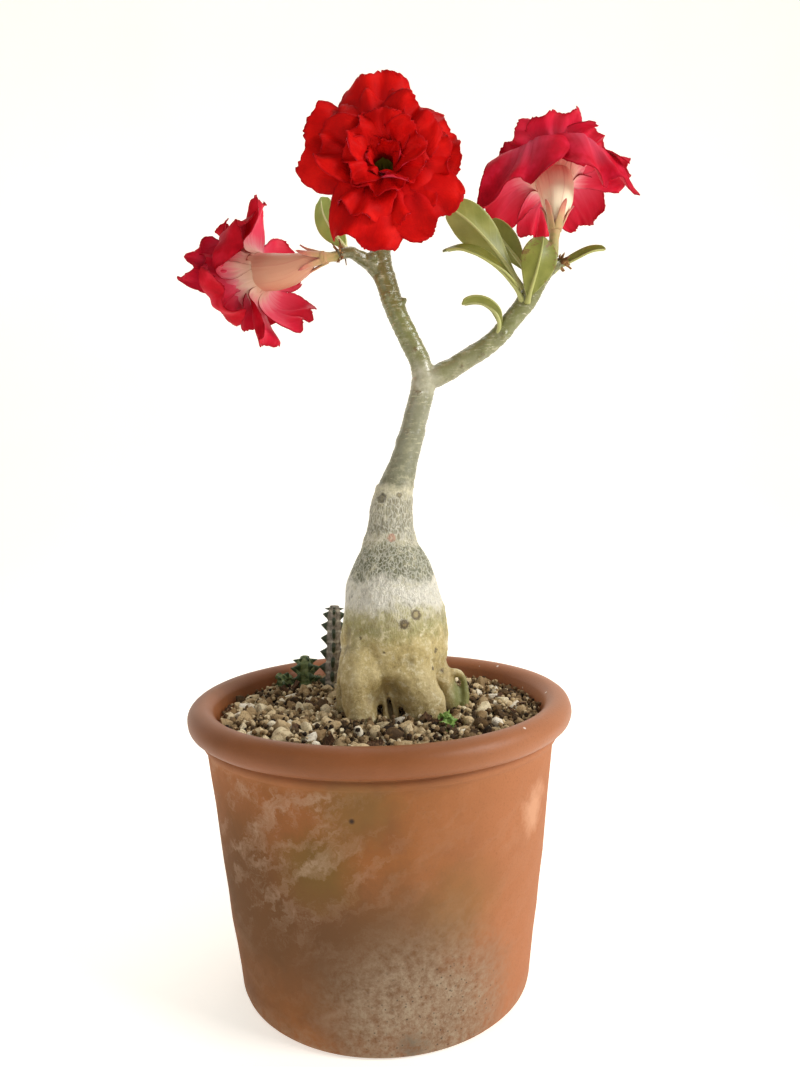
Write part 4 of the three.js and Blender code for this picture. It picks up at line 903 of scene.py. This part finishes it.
def stamenDown():  # anthers: soft, mealy, yellow-green
    material, skin, add, place = startMaterial("stamen_down", {"Roughness": 0.75, "Sheen Weight": 0.3})
    meal = add("TexNoise", {"Vector": place, "Scale": 1 / 0.8, "Detail": 3})
    colour = add("ValToRGB", {0: meal}, stops=[(0.35, "#8c8428"), (0.65, "#b5ab4a")])
    return joinSkin(material, skin, add, colour, None, meal, 0.2)


def makeStamens():
    down = stamenDown()
    steps, anthers = stamens["steps"], stamens["anthers"]
    for name, bloom in blooms.items():
        turned = bloomFrame(bloom)
        mesh = bmesh.new()
        rings = []
        for k in range(steps + 1):
            lift = stamens["height"] * k / steps - throat["depth"] + 0.3
            radius = max(0.15, stamens["radius"] * (1 - k / steps) ** 0.8)
            rings.append((turned @ Matrix.Translation((0, 0, lift)), radius))
        extrudeRings(mesh, rings, 20, lambda angle, step: 1 + 0.16 * math.cos(anthers * angle))
        for k in range(anthers):
            line = []
            for step in range(5):
                turn = math.tau * k / anthers + 0.5 * step
                height = stamens["hairFoot"] + stamens["hairStep"] * step
                spot = turned @ Vector((0.5 * math.cos(turn), 0.5 * math.sin(turn), height))
                line.append([*spot, 0.34 - 0.05 * step])
            extrudeRings(mesh, ringsAlong(line, 10), 6)
        bmesh.ops.recalc_face_normals(mesh, faces=mesh.faces)
        setPiece("anthers_" + name, mesh, [down], ["stamens_" + name])
    print("stamens set")


# Dry bracts in a tuft at each shoot's tip: centre, the shoot's direction, how many
bracts = {
    "tufts": [((-14.4, -6, 377.8), (-1, -0.1, -0.1), 20), ((97, -9.2, 371), (0.9, 0, 0.45), 17)],
    "length": (3, 5.4),
    "halfWidth": 1.25,
    "seed": 8,
}


def driedBract():  # papery dead scales: tan to dark brown
    material, skin, add, place = startMaterial("dried_bract", {"Roughness": 0.8, "Specular IOR Level": 0.2})
    patch = add("TexNoise", {"Vector": place, "Scale": 1 / 2.4, "Detail": 4})
    colour = add("ValToRGB", {0: patch}, stops=[(0.3, "#4c2f1c"), (0.5, "#8a5f38"), (0.7, "#b3905c")])
    return joinSkin(material, skin, add, colour, None, patch, 0.25)


def makeBracts():
    rng = random.Random(bracts["seed"])
    mesh = bmesh.new()
    mesh.loops.layers.uv.new("bract")
    for centre, shoot, count in bracts["tufts"]:
        axis = Vector(shoot).normalized()
        for k in range(count):
            turn = math.tau * (k + 0.6 * rng.random()) / count
            away = Quaternion(axis, turn) @ axis.orthogonal().normalized()
            heading = (away + axis * rng.uniform(-0.2, 1.1)).normalized()
            foot = Vector(centre) + axis * rng.uniform(-3, 1.5) + away * 1.2
            length, half = rng.uniform(*bracts["length"]), bracts["halfWidth"] * rng.uniform(0.7, 1.3)
            side, bend = heading.cross(axis).normalized(), rng.uniform(-0.5, 0.9)

            def bractPoint(u, v):
                spot = foot + heading * length * v + away * bend * length * 0.4 * v * v
                width = half * math.sqrt(max(0.01, 1 - v)) * (0.6 + 1.4 * v * (1 - v))
                return spot + side * u * width + axis * 0.35 * u * u * half

            sheetOver(mesh, 4, 8, bractPoint)
    bmesh.ops.recalc_face_normals(mesh, faces=mesh.faces)
    bmesh.ops.solidify(mesh, geom=mesh.faces[:], thickness=0.35)
    setPiece("dry_bracts", mesh, [driedBract()], ["plant"])
    print("bracts set")


# Leaves: each one's midline from foot to tip, which way its face looks, half width, fold in degrees
leaves = {
    "leaf_long": {
        "spine": [(80.4, -7.4, 355.6), (69.1, -7, 372.4), (59.8, -10, 382.6), (49.2, -12, 392.6),
                  (40, -12, 399)],
        "face": (-0.35, 0.75, 0.55), "halfWidth": 10.5, "fold": 28,
    },
    "leaf_behind": {
        "spine": [(85.6, -7.4, 361.6), (77.6, 2.4, 376.5), (70.5, 5, 387), (62.8, 7, 397.4)],
        "face": (0.35, 0.8, 0.5), "halfWidth": 7.5, "fold": 20,
    },
    "leaf_low": {
        "spine": [(77.4, -11, 351.6), (73, -14.5, 358.6), (65, -17, 366.5), (54.5, -17, 373.5),
                  (45.9, -16, 376.5), (37, -14, 376)],
        "face": (-0.45, -0.3, 0.85), "halfWidth": 7, "fold": 16,
    },
    "leaf_front": {
        "spine": [(79.6, -12.5, 350.6), (80.6, -17, 355.5), (83.2, -19.6, 364.4), (85.4, -20, 373),
                  (87.4, -17, 381.4)],
        "face": (-0.12, 0.97, -0.2), "halfWidth": 9.4, "fold": 14,
    },
    "leaf_small": {
        "spine": [(64.4, -7, 334.6), (65.6, -11, 340), (63.4, -13, 345.6), (58, -13, 349.8),
                  (52.6, -12, 351.2), (46.4, -11, 350.4)],
        "face": (0.15, 0.35, 0.92), "halfWidth": 4.6, "fold": 30,
    },
    "leaf_right": {
        "spine": [(93.6, -9, 367), (99, -8, 370.2), (106, -8, 373.4), (113.9, -9, 376.6), (121, -9, 377.4)],
        "face": (-0.3, -0.55, 0.8), "halfWidth": 4.8, "fold": 22,
    },
    "leaf_left": {
        "spine": [(-10.6, -3, 379.6), (-13.5, -1, 384.5), (-18.6, 3, 392.6), (-23, 7, 402), (-24.4, 11, 412)],
        "face": (0.55, 0.6, -0.3), "halfWidth": 7.6, "fold": 14,
    },
}


def leafSkin(name, dark, light, vein, blotched):  # leathery with a waxy sheen, midrib and edges pale
    shader = {"Roughness": 0.42, "IOR": 1.45, "Specular IOR Level": 0.4}
    material, skin, add, place = startMaterial(name, shader)
    _, across, v, _ = sheetMap(add)
    cloud = add("TexNoise", {"Vector": place, "Scale": 1 / 9, "Detail": 4})
    green = add("ValToRGB", {0: cloud}, stops=[(0.3, dark), (0.7, light)])
    # side veins leave the midrib at a slant
    slant = add("Math", {0: across, 1: -0.42}, operation="MULTIPLY")
    slant = add("Math", {0: slant, 1: v}, operation="ADD")
    ribs = add("Math", {0: slant, 1: 62}, operation="MULTIPLY")
    ribs = add("Math", {0: ribs}, operation="SINE")
    ribs = add("MapRange", {0: ribs, 1: 0.7, 2: 1, 3: 0, 4: 0.1})
    midrib = add("MapRange", {0: across, 1: 0.036, 2: 0.014, 3: 0, 4: 0.7})
    edge = add("MapRange", {0: across, 1: 0.48, 2: 0.497, 3: 0, 4: 0.75})
    pale = add("Math", {0: midrib, 1: edge}, operation="MAXIMUM")
    coats = [(ribs, light), (pale, vein)]
    if blotched:  # brown towards the tip and the edges
        top = add("Math", {0: v, 1: across}, operation="ADD")
        top = add("MapRange", {0: top, 1: 0.6, 2: 1.3, 3: -0.08, 4: 0.13})
        blotch = add("TexNoise", {"Vector": place, "Scale": 1 / 3.4, "Detail": 4, "Roughness": 0.7})
        blotch = add("Math", {0: blotch, 1: top}, operation="ADD")
        coats.append((add("MapRange", {0: blotch, 1: 0.6, 2: 0.66, 3: 0, 4: 0.9}), "#7b5c34"))
    relief = add("Math", {0: ribs, 1: midrib}, operation="ADD")
    relief = add("Math", {0: relief, 1: cloud}, operation="ADD")
    return joinSkin(material, skin, add, green, None, relief, 0.2, coats)


def leafOutline(v):
    swell = math.sin(math.pi * min(0.5, 0.5 * (max(0, v) / 0.66) ** 1.5))
    tip = math.sqrt(max(0.02, 1 - 0.93 * ((v - 0.66) / 0.34) ** 2)) if v > 0.66 else 1
    return max(0.14, swell * tip)


def makeLeaves():
    upper = leafSkin("leaf_top", "#575b1a", "#7c7c2c", "#b9b970", False)
    under = leafSkin("leaf_under", "#7c8038", "#98984e", "#c0c07e", False)
    spotted = leafSkin("leaf_under_spotted", "#70742c", "#8c8c40", "#b9b972", True)
    # a lighter copy of the leaf skins for the leaf at the left: painted light
    bright = leafSkin("leaf_lit", "#93a84e", "#aec065", "#e2e8ae", False)
    for name, leaf in leaves.items():
        spots = [Vector(spot) for spot in leaf["spine"]]
        face = Vector(leaf["face"])
        flat, raised = math.cos(math.radians(leaf["fold"])), math.sin(math.radians(leaf["fold"]))

        def leafPoint(u, v):
            along = min(max(v * (1 - 0.05 * u * u * v), 0), 1)
            tangent = (onCurve(spots, along + 1e-4) - onCurve(spots, along - 1e-4)).normalized()
            side = tangent.cross(face).normalized()
            up = side.cross(tangent)
            reach = leaf["halfWidth"] * leafOutline(along)
            wave = 0.05 * leaf["halfWidth"] * math.sin(9 * v + 2 * u) * u * u
            groove = 0.5 * math.exp(-((u / 0.1) ** 2)) * (1 - v)
            cushion = 0.25 * math.sin(12 * v - 4 * abs(u)) * abs(u) * (1 - abs(u))
            lift = abs(u) * reach * raised * (1 - 0.35 * abs(u)) + wave - groove + cushion
            return onCurve(spots, along) + side * (u * reach * flat) + up * lift

        mesh = bmesh.new()
        mesh.loops.layers.uv.new("leaf")
        sheetOver(mesh, 20, 48, leafPoint)
        skins = [upper, spotted if name == "leaf_front" else under]
        if name == "leaf_left":
            skins = [bright, bright]
        piece = setPiece(name + "_blade", mesh, skins, [name])
        thicken(piece, 1.0, 1)
        # the midrib stands out below as a round cord that thins to the tip
        mesh = bmesh.new()
        mesh.loops.layers.uv.new("leaf")
        line = []
        for k in range(9):
            v = k / 8 * 0.94
            tangent = (onCurve(spots, v + 1e-4) - onCurve(spots, v - 1e-4)).normalized()
            up = tangent.cross(face).normalized().cross(tangent)
            line.append([*(onCurve(spots, v) - up * 0.5), (1.25 if k else 1.7) * (1 - 0.8 * k / 8)])
        extrudeRings(mesh, ringsAlong(line, 40), 12)
        bmesh.ops.recalc_face_normals(mesh, faces=mesh.faces)
        setPiece(name + "_midrib", mesh, [skins[1]], [name])
    print("leaves out")


# Gravel
gravel = {
    "reach": 85.4,  # radius of the filled ring
    "crown": 138.4,  # heights of the bed's middle and edge
    "edge": 136.6,
    "bed": {"foot": 129.3, "top": 136, "rings": 56, "steps": 200},
    "seed": 4,
    "cell": 8,  # of the grid that finds a stone's neighbours
    # how many, half widths, share of the two sizes that two stones may come near, highest seat above the bed
    "stones": [(100, (4.3, 6.4), 0.84, 3.6), (1100, (2.2, 4.3), 0.78, 4.6)],
    # stones that stand out in front: place, half width, tint
    "chosen": [((5.5, -42.5), 7.2, 0), ((66, 8), 7, 0.5), ((60, 50), 5.6, 0.95), ((42, -34), 3.2, 0.72),
               ((-14, -48), 4.6, 0.62), ((26, -50), 4.2, 0.8), ((50, -26), 4.8, 0.35)],
    "grit": (3300, (0.5, 1.5)),
    "chips": (40, (1.6, 3.9)),
    # where stems and roots stand: x, y, radius
    "standing": [(-9, -24.6, 6), (26, -23, 8.4), (3, -21, 2.4), (9.4, -20.8, 2.6), (-21, -7, 3),
                 (-13.3, 24, 7), (28.4, 21.5, 7), (36.3, -7, 4), (42.8, -7, 2), (-28, 45, 3.6),
                 (-44, 55, 4.2), (-53, 51, 3), (33, -39, 2.4)],
}


def bedHeight(x, y):
    slope = (gravel["edge"] - gravel["crown"]) * ease(45, 86, math.hypot(x, y))
    return gravel["crown"] + slope + 1.1 * noise.noise(Vector((x, y, 0)) * 0.05)


def roughStone():  # pumice and lava gravel: dry, pitted, from near black through tan to cream by its tint
    shader = {"Roughness": 0.92, "IOR": 1.5, "Specular IOR Level": 0.2}
    material, skin, add, place = startMaterial("rough_stone", shader)
    tint = add("Attribute", {}, "Fac", attribute_name="tint")
    colour = add("ValToRGB", {0: tint}, stops=[
        (0.0, "#2b211a"), (0.12, "#574430"), (0.28, "#907653"), (0.48, "#bda47c"), (0.68, "#dac49a"),
        (0.86, "#ecddb9"), (1.0, "#f5ecd8")])
    grain = add("TexNoise", {"Vector": place, "Scale": 1 / 0.7, "Detail": 4, "Roughness": 0.75})
    stain = add("TexNoise", {"Vector": place, "Scale": 1 / 3.2, "Detail": 3})
    stain = add("MapRange", {0: stain, 1: 0.5, 2: 0.72, 3: 0, 4: 0.55})
    pits = add("TexVoronoi", {"Vector": place, "Scale": 1 / 1.1})
    # painted shade: darker in the pits
    dark = add("MapRange", {0: pits, 1: 0.3, 2: 0.08, 3: 0, 4: 0.36})
    pitted = add("MapRange", {0: pits, 1: 0, 2: 0.35, 3: 0, 4: 1})
    relief = add("Math", {0: grain, 1: pitted}, operation="ADD")
    return joinSkin(material, skin, add, colour, None, relief, 0.45, [(stain, "#8a6b42"), (dark, "#5f4c36")])


def darkMix():  # what shows between the stones: crumbly brown grit
    material, skin, add, place = startMaterial("dark_mix", {"Roughness": 0.97, "Specular IOR Level": 0.15})
    crumb = add("TexVoronoi", {"Vector": place, "Scale": 1 / 1.6}, 1)
    value = add("SeparateXYZ", {0: crumb}, 0)
    colour = add("ValToRGB", {0: value}, stops=[
        (0.0, "#20170f"), (0.5, "#3c2b1c"), (0.85, "#5f4730"), (1.0, "#8c7150")])
    grain = add("TexNoise", {"Vector": place, "Scale": 1 / 0.9, "Detail": 4})
    relief = add("Math", {0: grain, 1: value}, operation="ADD")
    return joinSkin(material, skin, add, colour, None, relief, 0.8)


def barkChip():  # chips of pine bark: fibrous, dark red-brown
    material, skin, add, place = startMaterial("bark_chip", {"Roughness": 0.88, "Specular IOR Level": 0.2})
    fibre = add("Mapping", {"Vector": place, "Scale": (1 / 0.7, 1 / 3, 1 / 0.9)})
    fibre = add("TexNoise", {"Vector": fibre, "Scale": 1, "Detail": 4})
    colour = add("ValToRGB", {0: fibre}, stops=[(0.3, "#36251a"), (0.5, "#523a28"), (0.7, "#7b5d41")])
    return joinSkin(material, skin, add, colour, None, fibre, 0.4)


def makeBed(mix):  # a turned disc with a crumbly top, a few millimetres under the stones
    bed, reach = gravel["bed"], gravel["reach"]
    mesh = bmesh.new()
    section = [(0, bed["foot"]), (reach - 1.6, bed["foot"])]
    section += [((reach + 0.6) * (1 - k / bed["rings"]), bed["top"]) for k in range(bed["rings"] + 1)]
    points = [mesh.verts.new((radius, 0, height)) for radius, height in section]
    edges = [mesh.edges.new(pair) for pair in zip(points, points[1:])]
    bmesh.ops.spin(mesh, geom=points + edges, cent=(0, 0, 0), axis=(0, 0, 1), angle=math.tau,
                   steps=bed["steps"], use_merge=True)
    outwards(mesh)
    for vert in mesh.verts:
        if vert.co.z > 131:
            crumbs = 1.5 * noise.noise(vert.co * 0.42) + 0.9 * noise.noise(vert.co * 1.1)
            vert.co.z = bedHeight(vert.co.x, vert.co.y) - 1.6 + crumbs
    setPiece("gravel_bed", mesh, [mix], ["gravel"])


def blankOf(make):  # a shape that is copied many times
    shape = bmesh.new()
    make(shape)
    data = bpy.data.meshes.new("blank")
    shape.to_mesh(data)
    shape.free()
    return data


def makeGravel():
    rng = random.Random(gravel["seed"])
    mix, stone, chip = darkMix(), roughStone(), barkChip()
    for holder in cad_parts["soil"].material_slots:
        holder.material = mix
    makeBed(mix)
    near, cell = {}, gravel["cell"]  # the stones that lie, by cell

    def seat(x, y, size, closeness):  # the height at which a stone comes to rest
        low = bedHeight(x, y) - 0.2 * size
        span = 2 if size > 2 else 1
        column, row = int(x // cell), int(y // cell)
        for i in range(column - span, column + span + 1):
            for j in range(row - span, row + span + 1):
                for cx, cy, cz, other in near.get((i, j), ()):
                    reach = closeness * (size + other)
                    gap = reach * reach - (x - cx) ** 2 - (y - cy) ** 2
                    if gap > 0:
                        low = max(low, cz + 0.8 * math.sqrt(gap))
        return low

    def clear(x, y, size):
        if math.hypot(x, y) + size > gravel["reach"]:
            return False
        return all(math.hypot(x - cx, y - cy) > radius + 0.75 * size for cx, cy, radius in gravel["standing"])

    def dropStone(size, closeness, tries):  # the lowest of a few places
        best = None
        for _ in range(tries):
            turn, out = rng.uniform(0, math.tau), gravel["reach"] * math.sqrt(rng.random())
            x, y = out * math.cos(turn), out * math.sin(turn)
            if clear(x, y, size):
                z = seat(x, y, size, closeness)
                lift = z - bedHeight(x, y)
                if best is None or lift < best[3]:
                    best = (x, y, z, lift)
        return best

    def keep(spot, size):
        near.setdefault((int(spot[0] // cell), int(spot[1] // cell)), []).append((*spot[:3], size))

    def copyOf(data):
        start = len(mesh.verts)
        mesh.from_mesh(data)
        return mesh.verts[start:]

    def anyWay():
        return Vector((rng.gauss(0, 1), rng.gauss(0, 1), rng.gauss(0, 1))).normalized()

    large = blankOf(lambda shape: bmesh.ops.create_icosphere(shape, subdivisions=3, radius=1))
    medium = blankOf(lambda shape: bmesh.ops.create_uvsphere(shape, u_segments=8, v_segments=6, radius=1))
    tiny = blankOf(lambda shape: bmesh.ops.create_icosphere(shape, subdivisions=1, radius=1))

    def brick(shape):
        bmesh.ops.create_cube(shape, size=2)
        bmesh.ops.subdivide_edges(shape, edges=shape.edges, cuts=1, use_grid_fill=True)

    slab = blankOf(brick)

    mesh = bmesh.new()
    tint = mesh.verts.layers.float.new("tint")

    def addStone(spot, size, shade):
        turn = Matrix.Rotation(rng.uniform(0, math.tau), 3, anyWay())
        cuts = [(anyWay(), rng.uniform(0.4, 0.76)) for _ in range(9)]
        shape = Matrix.Diagonal((rng.uniform(0.85, 1.3), rng.uniform(0.75, 1.05), rng.uniform(0.6, 0.9)))
        shift = Vector((rng.random() * 50, 0, 0))
        for vert in copyOf(large if size > 4.4 else medium):
            co = vert.co.copy()
            for normal, depth in cuts:  # chipped faces
                past = co.dot(normal) - depth
                if past > 0:
                    co -= normal * past * 0.9
            co *= 1 + 0.2 * noise.noise(co * 1.9 + shift) + 0.11 * noise.noise(co * 5 + shift)
            vert.co = turn @ (shape @ co) * size * 1.16 + Vector(spot)
            vert[tint] = shade

    for (x, y), size, shade in gravel["chosen"]:
        spot = (x, y, seat(x, y, size, 0.8))
        keep(spot, size)
        addStone(spot, size, shade)
    for count, (least, most), closeness, highest in gravel["stones"]:
        for _ in range(count):
            size = least + (most - least) * rng.random() ** 1.7
            spot = dropStone(size, closeness, 5)
            if spot is None or spot[3] > highest:
                continue
            keep(spot, size)
            addStone(spot[:3], size, rng.random() ** (0.8 if spot[0] < 20 else 1.25))
    setPiece("gravel_stones", mesh, [stone], ["gravel"], 50)
    print("stones dropped")

    mesh = bmesh.new()
    tint = mesh.verts.layers.float.new("tint")
    count, (least, most) = gravel["grit"]
    for _ in range(count):
        size = rng.uniform(least, most)
        spot = dropStone(size, 0.8, 4)
        if spot is None:
            continue
        keep(spot, size)
        shade = 0.8 * rng.random() ** 1.7
        for vert in copyOf(tiny):
            vert.co = vert.co * size * rng.uniform(0.75, 1.15) + Vector(spot[:3])
            vert[tint] = shade
    setPiece("gravel_grit", mesh, [stone], ["gravel"], 60)

    mesh = bmesh.new()
    count, (least, most) = gravel["chips"]
    for _ in range(count):
        size = rng.uniform(least, most)
        spot = dropStone(size * 0.7, 0.6, 3)
        if spot is None:
            continue
        turn = Matrix.Rotation(rng.uniform(0, math.tau), 3, "Z")
        tip = Matrix.Rotation(rng.gauss(0, 0.35), 3, "X") @ Matrix.Rotation(rng.gauss(0, 0.35), 3, "Y")
        lay = turn @ tip
        shape = Matrix.Diagonal((size, size * rng.uniform(0.35, 0.6), size * rng.uniform(0.12, 0.2)))
        for vert in copyOf(slab):
            jitter = Vector((rng.uniform(-0.16, 0.16), rng.uniform(-0.2, 0.2), rng.uniform(-0.3, 0.3)))
            vert.co = lay @ (shape @ (vert.co + jitter)) + Vector(spot[:3])
    bmesh.ops.recalc_face_normals(mesh, faces=mesh.faces)
    setPiece("bark_chips", mesh, [chip], ["gravel"], 30)
    for data in (large, medium, tiny, slab):
        bpy.data.meshes.remove(data)
    print("gravel poured")


# Small succulents: ribbed stems with rows of teeth, [x, y, z, radius] in millimetres
companions = {
    "succulent_tall": {
        "line": [[-28, 45, 130, 3], [-28, 45, 141, 3.8], [-27.4, 45, 153, 4], [-26.4, 45, 166, 3.9],
                 [-26, 45, 178, 3.8], [-25.6, 45, 187, 3.2], [-25.5, 45, 190, 2.2]],
        "ribs": 4, "teeth": 8, "reach": 2, "skin": "grey",
    },
    "succulent_low": {
        "line": [[-44, 55, 130, 3], [-44, 55, 139, 4.4], [-44.4, 54.5, 147, 5], [-44.6, 54, 155, 4.6],
                 [-44.6, 54, 159, 1.6]],
        "ribs": 5, "teeth": 4, "reach": 2, "skin": "dark",
    },
    "succulent_slanting": {
        "line": [[-50, 52, 131, 2.2], [-53, 51, 139, 3.2], [-57, 50.4, 145, 3.2], [-61, 50, 149, 1.4]],
        "ribs": 4, "teeth": 3, "reach": 2.1, "skin": "dark",
    },
    "succulent_seedling": {
        "line": [[33, -39, 130, 2], [33, -39, 139.4, 2.4], [32.6, -39.4, 143.6, 2.8],
                 [32.2, -39.6, 147.4, 1.4]],
        "ribs": 5, "teeth": 2, "reach": 2, "skin": "bright",
    },
}

# their leaves: lean of the lowest and the highest one, and how far up the stem they go
rosettes = {
    "succulent_seedling": {
        "centre": (31.4, -39.4, 139.8), "leaves": 14, "lean": (84, 22), "rise": 6.8,
        "length": 7.2, "halfWidth": 2.3, "skin": "bright",
    },
    "succulent_low": {
        "centre": (-44, 54.6, 141), "leaves": 18, "lean": (78, 18), "rise": 14,
        "length": 8.4, "halfWidth": 2.9, "skin": "dark",
    },
    "succulent_slanting": {
        "centre": (-55, 50.8, 139), "leaves": 13, "lean": (76, 24), "rise": 7,
        "length": 8, "halfWidth": 2.6, "skin": "dark",
    },
}


def succulentSkin(name, dark, light, band, toothShade):  # taut waxy skin, mottled, its teeth in another shade
    shader = {"Roughness": 0.5, "Specular IOR Level": 0.35}
    material, skin, add, place = startMaterial("succulent_" + name, shader)
    mottle = add("TexNoise", {"Vector": place, "Scale": 1 / 3, "Detail": 4, "Roughness": 0.65})
    colour = add("ValToRGB", {0: mottle}, stops=[(0.35, dark), (0.65, light)])
    # pale bands round the stem
    ring = add("Math", {0: add("SeparateXYZ", {0: place}, 2), 1: 1.05}, operation="MULTIPLY")
    ring = add("Math", {0: ring}, operation="SINE")
    ring = add("Math", {0: ring, 1: mottle}, operation="MULTIPLY")
    ring = add("MapRange", {0: ring, 1: 0.3, 2: 0.55, 3: 0, 4: 0.6})
    out = add("Attribute", {}, "Fac", attribute_name="out")
    out = add("MapRange", {0: out, 1: 1.0, 2: 1.25, 3: 0, 4: 0.95})
    return joinSkin(material, skin, add, colour, None, mottle, 0.3, [(ring, band), (out, toothShade)])


def makeCompanions():
    skins = {
        "grey": succulentSkin("grey", "#675f52", "#a2988a", "#d2cab4", "#34422a"),
        "dark": succulentSkin("dark", "#52633a", "#8d9c68", "#aab386", "#3a4c2c"),
        "bright": succulentSkin("bright", "#64883a", "#a9c66c", "#c4dc8c", "#6f9444"),
    }
    for name, stem in companions.items():
        mesh = bmesh.new()
        out = mesh.verts.layers.float.new("out")
        steps, ribs = 14 * stem["teeth"], stem["ribs"]
        sides = ribs * 8

        def swell(angle, step):
            rib = math.cos(ribs * angle)
            number = round(angle * ribs / math.tau)
            beat = (step / steps * (stem["teeth"] + 1) + 0.5 * (number % 2)) % 1
            point = max(0, 1 - abs(beat - 0.6) / (0.55 if beat < 0.6 else 0.3))
            tooth = (stem["reach"] - 1.05) * 1.1 * point * max(0, rib) ** 1.6 * ease(1, 0.93, step / steps)
            return 0.82 + 0.22 * max(0, rib) + tooth * ease(0.1, 0.2, step / steps)

        rings = ringsAlong(stem["line"], steps)
        for ring, (place, radius) in zip(extrudeRings(mesh, rings, sides, swell), rings):
            for vert in ring:
                vert[out] = (vert.co - place.translation).length / radius
        bmesh.ops.recalc_face_normals(mesh, faces=mesh.faces)
        setPiece(name + "_stem", mesh, [skins[stem["skin"]]], [name])

    # pointed, toothed leaves in a rosette on the seedling, and in star-like tufts on the low ones
    for name, tuft in rosettes.items():
        mesh = bmesh.new()
        mesh.loops.layers.uv.new("leaf")
        for k in range(tuft["leaves"]):
            share = k / tuft["leaves"]
            low, high = tuft["lean"]
            turn, lean = 2.4 * k, math.radians(low + (high - low) * share)
            lift = Vector(tuft["centre"]) + Vector((0, 0, tuft["rise"] * share))
            away = Vector((math.cos(turn), math.sin(turn), 0))
            ahead = away * math.sin(lean) + Vector((0, 0, math.cos(lean)))
            side = Vector((-math.sin(turn), math.cos(turn), 0))
            length = tuft["length"] * (1 - 0.35 * share)

            def rosettePoint(u, v):
                saw = 1 + 0.22 * math.sin(math.tau * 4 * v) * abs(u) ** 3
                width = tuft["halfWidth"] * math.sin(math.pi * min(1, 0.16 + 0.84 * v)) ** 0.8 * saw
                droop = Vector((0, 0, -0.25 * length * v * v))
                dish = ahead.cross(side) * -0.3 * u * u * width
                return lift + ahead * length * v + side * u * width + dish + droop

            sheetOver(mesh, 6, 16, rosettePoint)
        bmesh.ops.recalc_face_normals(mesh, faces=mesh.faces)
        bmesh.ops.solidify(mesh, geom=mesh.faces[:], thickness=0.5)
        setPiece(name + "_leaves", mesh, [skins[tuft["skin"]]], [name])
    print("companions planted")


# Camera, light and floor, in metres
stage = {
    "eye": (0, -0.42587, 0.25853),
    "yaw": 1.70,
    "pitch": -3.31,
    "roll": -1.37,
    "lens": 27.236,
    "floor": {"size": 3, "parts": 60, "bend": 0.9, "radius": 0.8, "slope": 1.6},  # it sweeps up from the bend
    "lamps": {  # place, power, size
        "key": ((0.95, -0.5, 0.75), 10.5, 0.42),
        "fill": ((-0.8, -0.7, 0.6), 1.7, 0.9),
        "top": ((0.1, 0.35, 1.25), 4, 0.8),
    },
    "aim": (0, 0, 0.22),
    "sky": ("#fbfaf6", 0.3),
}


def setStage():
    yaw, pitch, roll = [math.radians(stage[key]) for key in ("yaw", "pitch", "roll")]
    ahead = Vector((math.sin(yaw) * math.cos(pitch), math.cos(yaw) * math.cos(pitch), math.sin(pitch)))
    level = Vector((math.cos(yaw), -math.sin(yaw), 0))
    up = level.cross(ahead)
    right, top = level * math.cos(roll) + up * math.sin(roll), up * math.cos(roll) - level * math.sin(roll)
    camera = bpy.data.cameras.new("camera")
    camera.lens, camera.sensor_width, camera.clip_start = stage["lens"], 36, 0.01
    holder = bpy.data.objects.new("camera", camera)
    turn = Matrix((right, top, -ahead)).transposed().to_4x4()
    holder.matrix_world = Matrix.Translation(stage["eye"]) @ turn
    bpy.context.collection.objects.link(holder)
    bpy.context.scene.camera = holder

    material, skin, add, place = startMaterial("painted_board", {
        "Roughness": 0.8, "Emission Color": linear("#fffdf6"), "Emission Strength": 0.56})
    dust = add("TexNoise", {"Vector": place, "Scale": 1 / 420, "Detail": 2})
    colour = add("ValToRGB", {0: dust}, stops=[(0.3, "#efeae0"), (0.7, "#f3efe8")])
    joinSkin(material, skin, add, colour)
    board = stage["floor"]
    bend, radius = board["bend"], board["radius"]
    mesh = bmesh.new()
    bmesh.ops.create_grid(mesh, x_segments=board["parts"], y_segments=board["parts"], size=board["size"])
    for vert in mesh.verts:
        past = max(0, vert.co.y - bend)
        turn = min(past / radius, math.pi / 2)
        rest = max(0, past - radius * math.pi / 2)
        if past:
            vert.co.y = bend + radius * math.sin(turn)
            vert.co.z = radius * (1 - math.cos(turn)) + rest * board["slope"]
    for face in mesh.faces:
        face.smooth = True
    floor = linkObject("floor", mesh)
    floor.data.materials.append(material)

    world = bpy.data.worlds.new("studio")
    world.use_nodes = True
    sky = world.node_tree.nodes["Background"].inputs
    sky["Color"].default_value = linear(stage["sky"][0])
    sky["Strength"].default_value = stage["sky"][1]
    bpy.context.scene.world = world
    for name, (spot, power, size) in stage["lamps"].items():
        lamp = bpy.data.lights.new(name, "AREA")
        lamp.energy, lamp.size = power, size
        holder = bpy.data.objects.new(name, lamp)
        holder.location = spot
        holder.rotation_euler = (Vector(stage["aim"]) - Vector(spot)).to_track_quat("-Z", "Y").to_euler()
        bpy.context.collection.objects.link(holder)
    look = bpy.context.scene.view_settings
    look.view_transform, look.exposure = "Standard", 0.0
    print("stage set")


makePot()
makeRose()
makeBlooms()
makeStamens()
makeBracts()
makeLeaves()
makeGravel()
makeCompanions()
setStage()
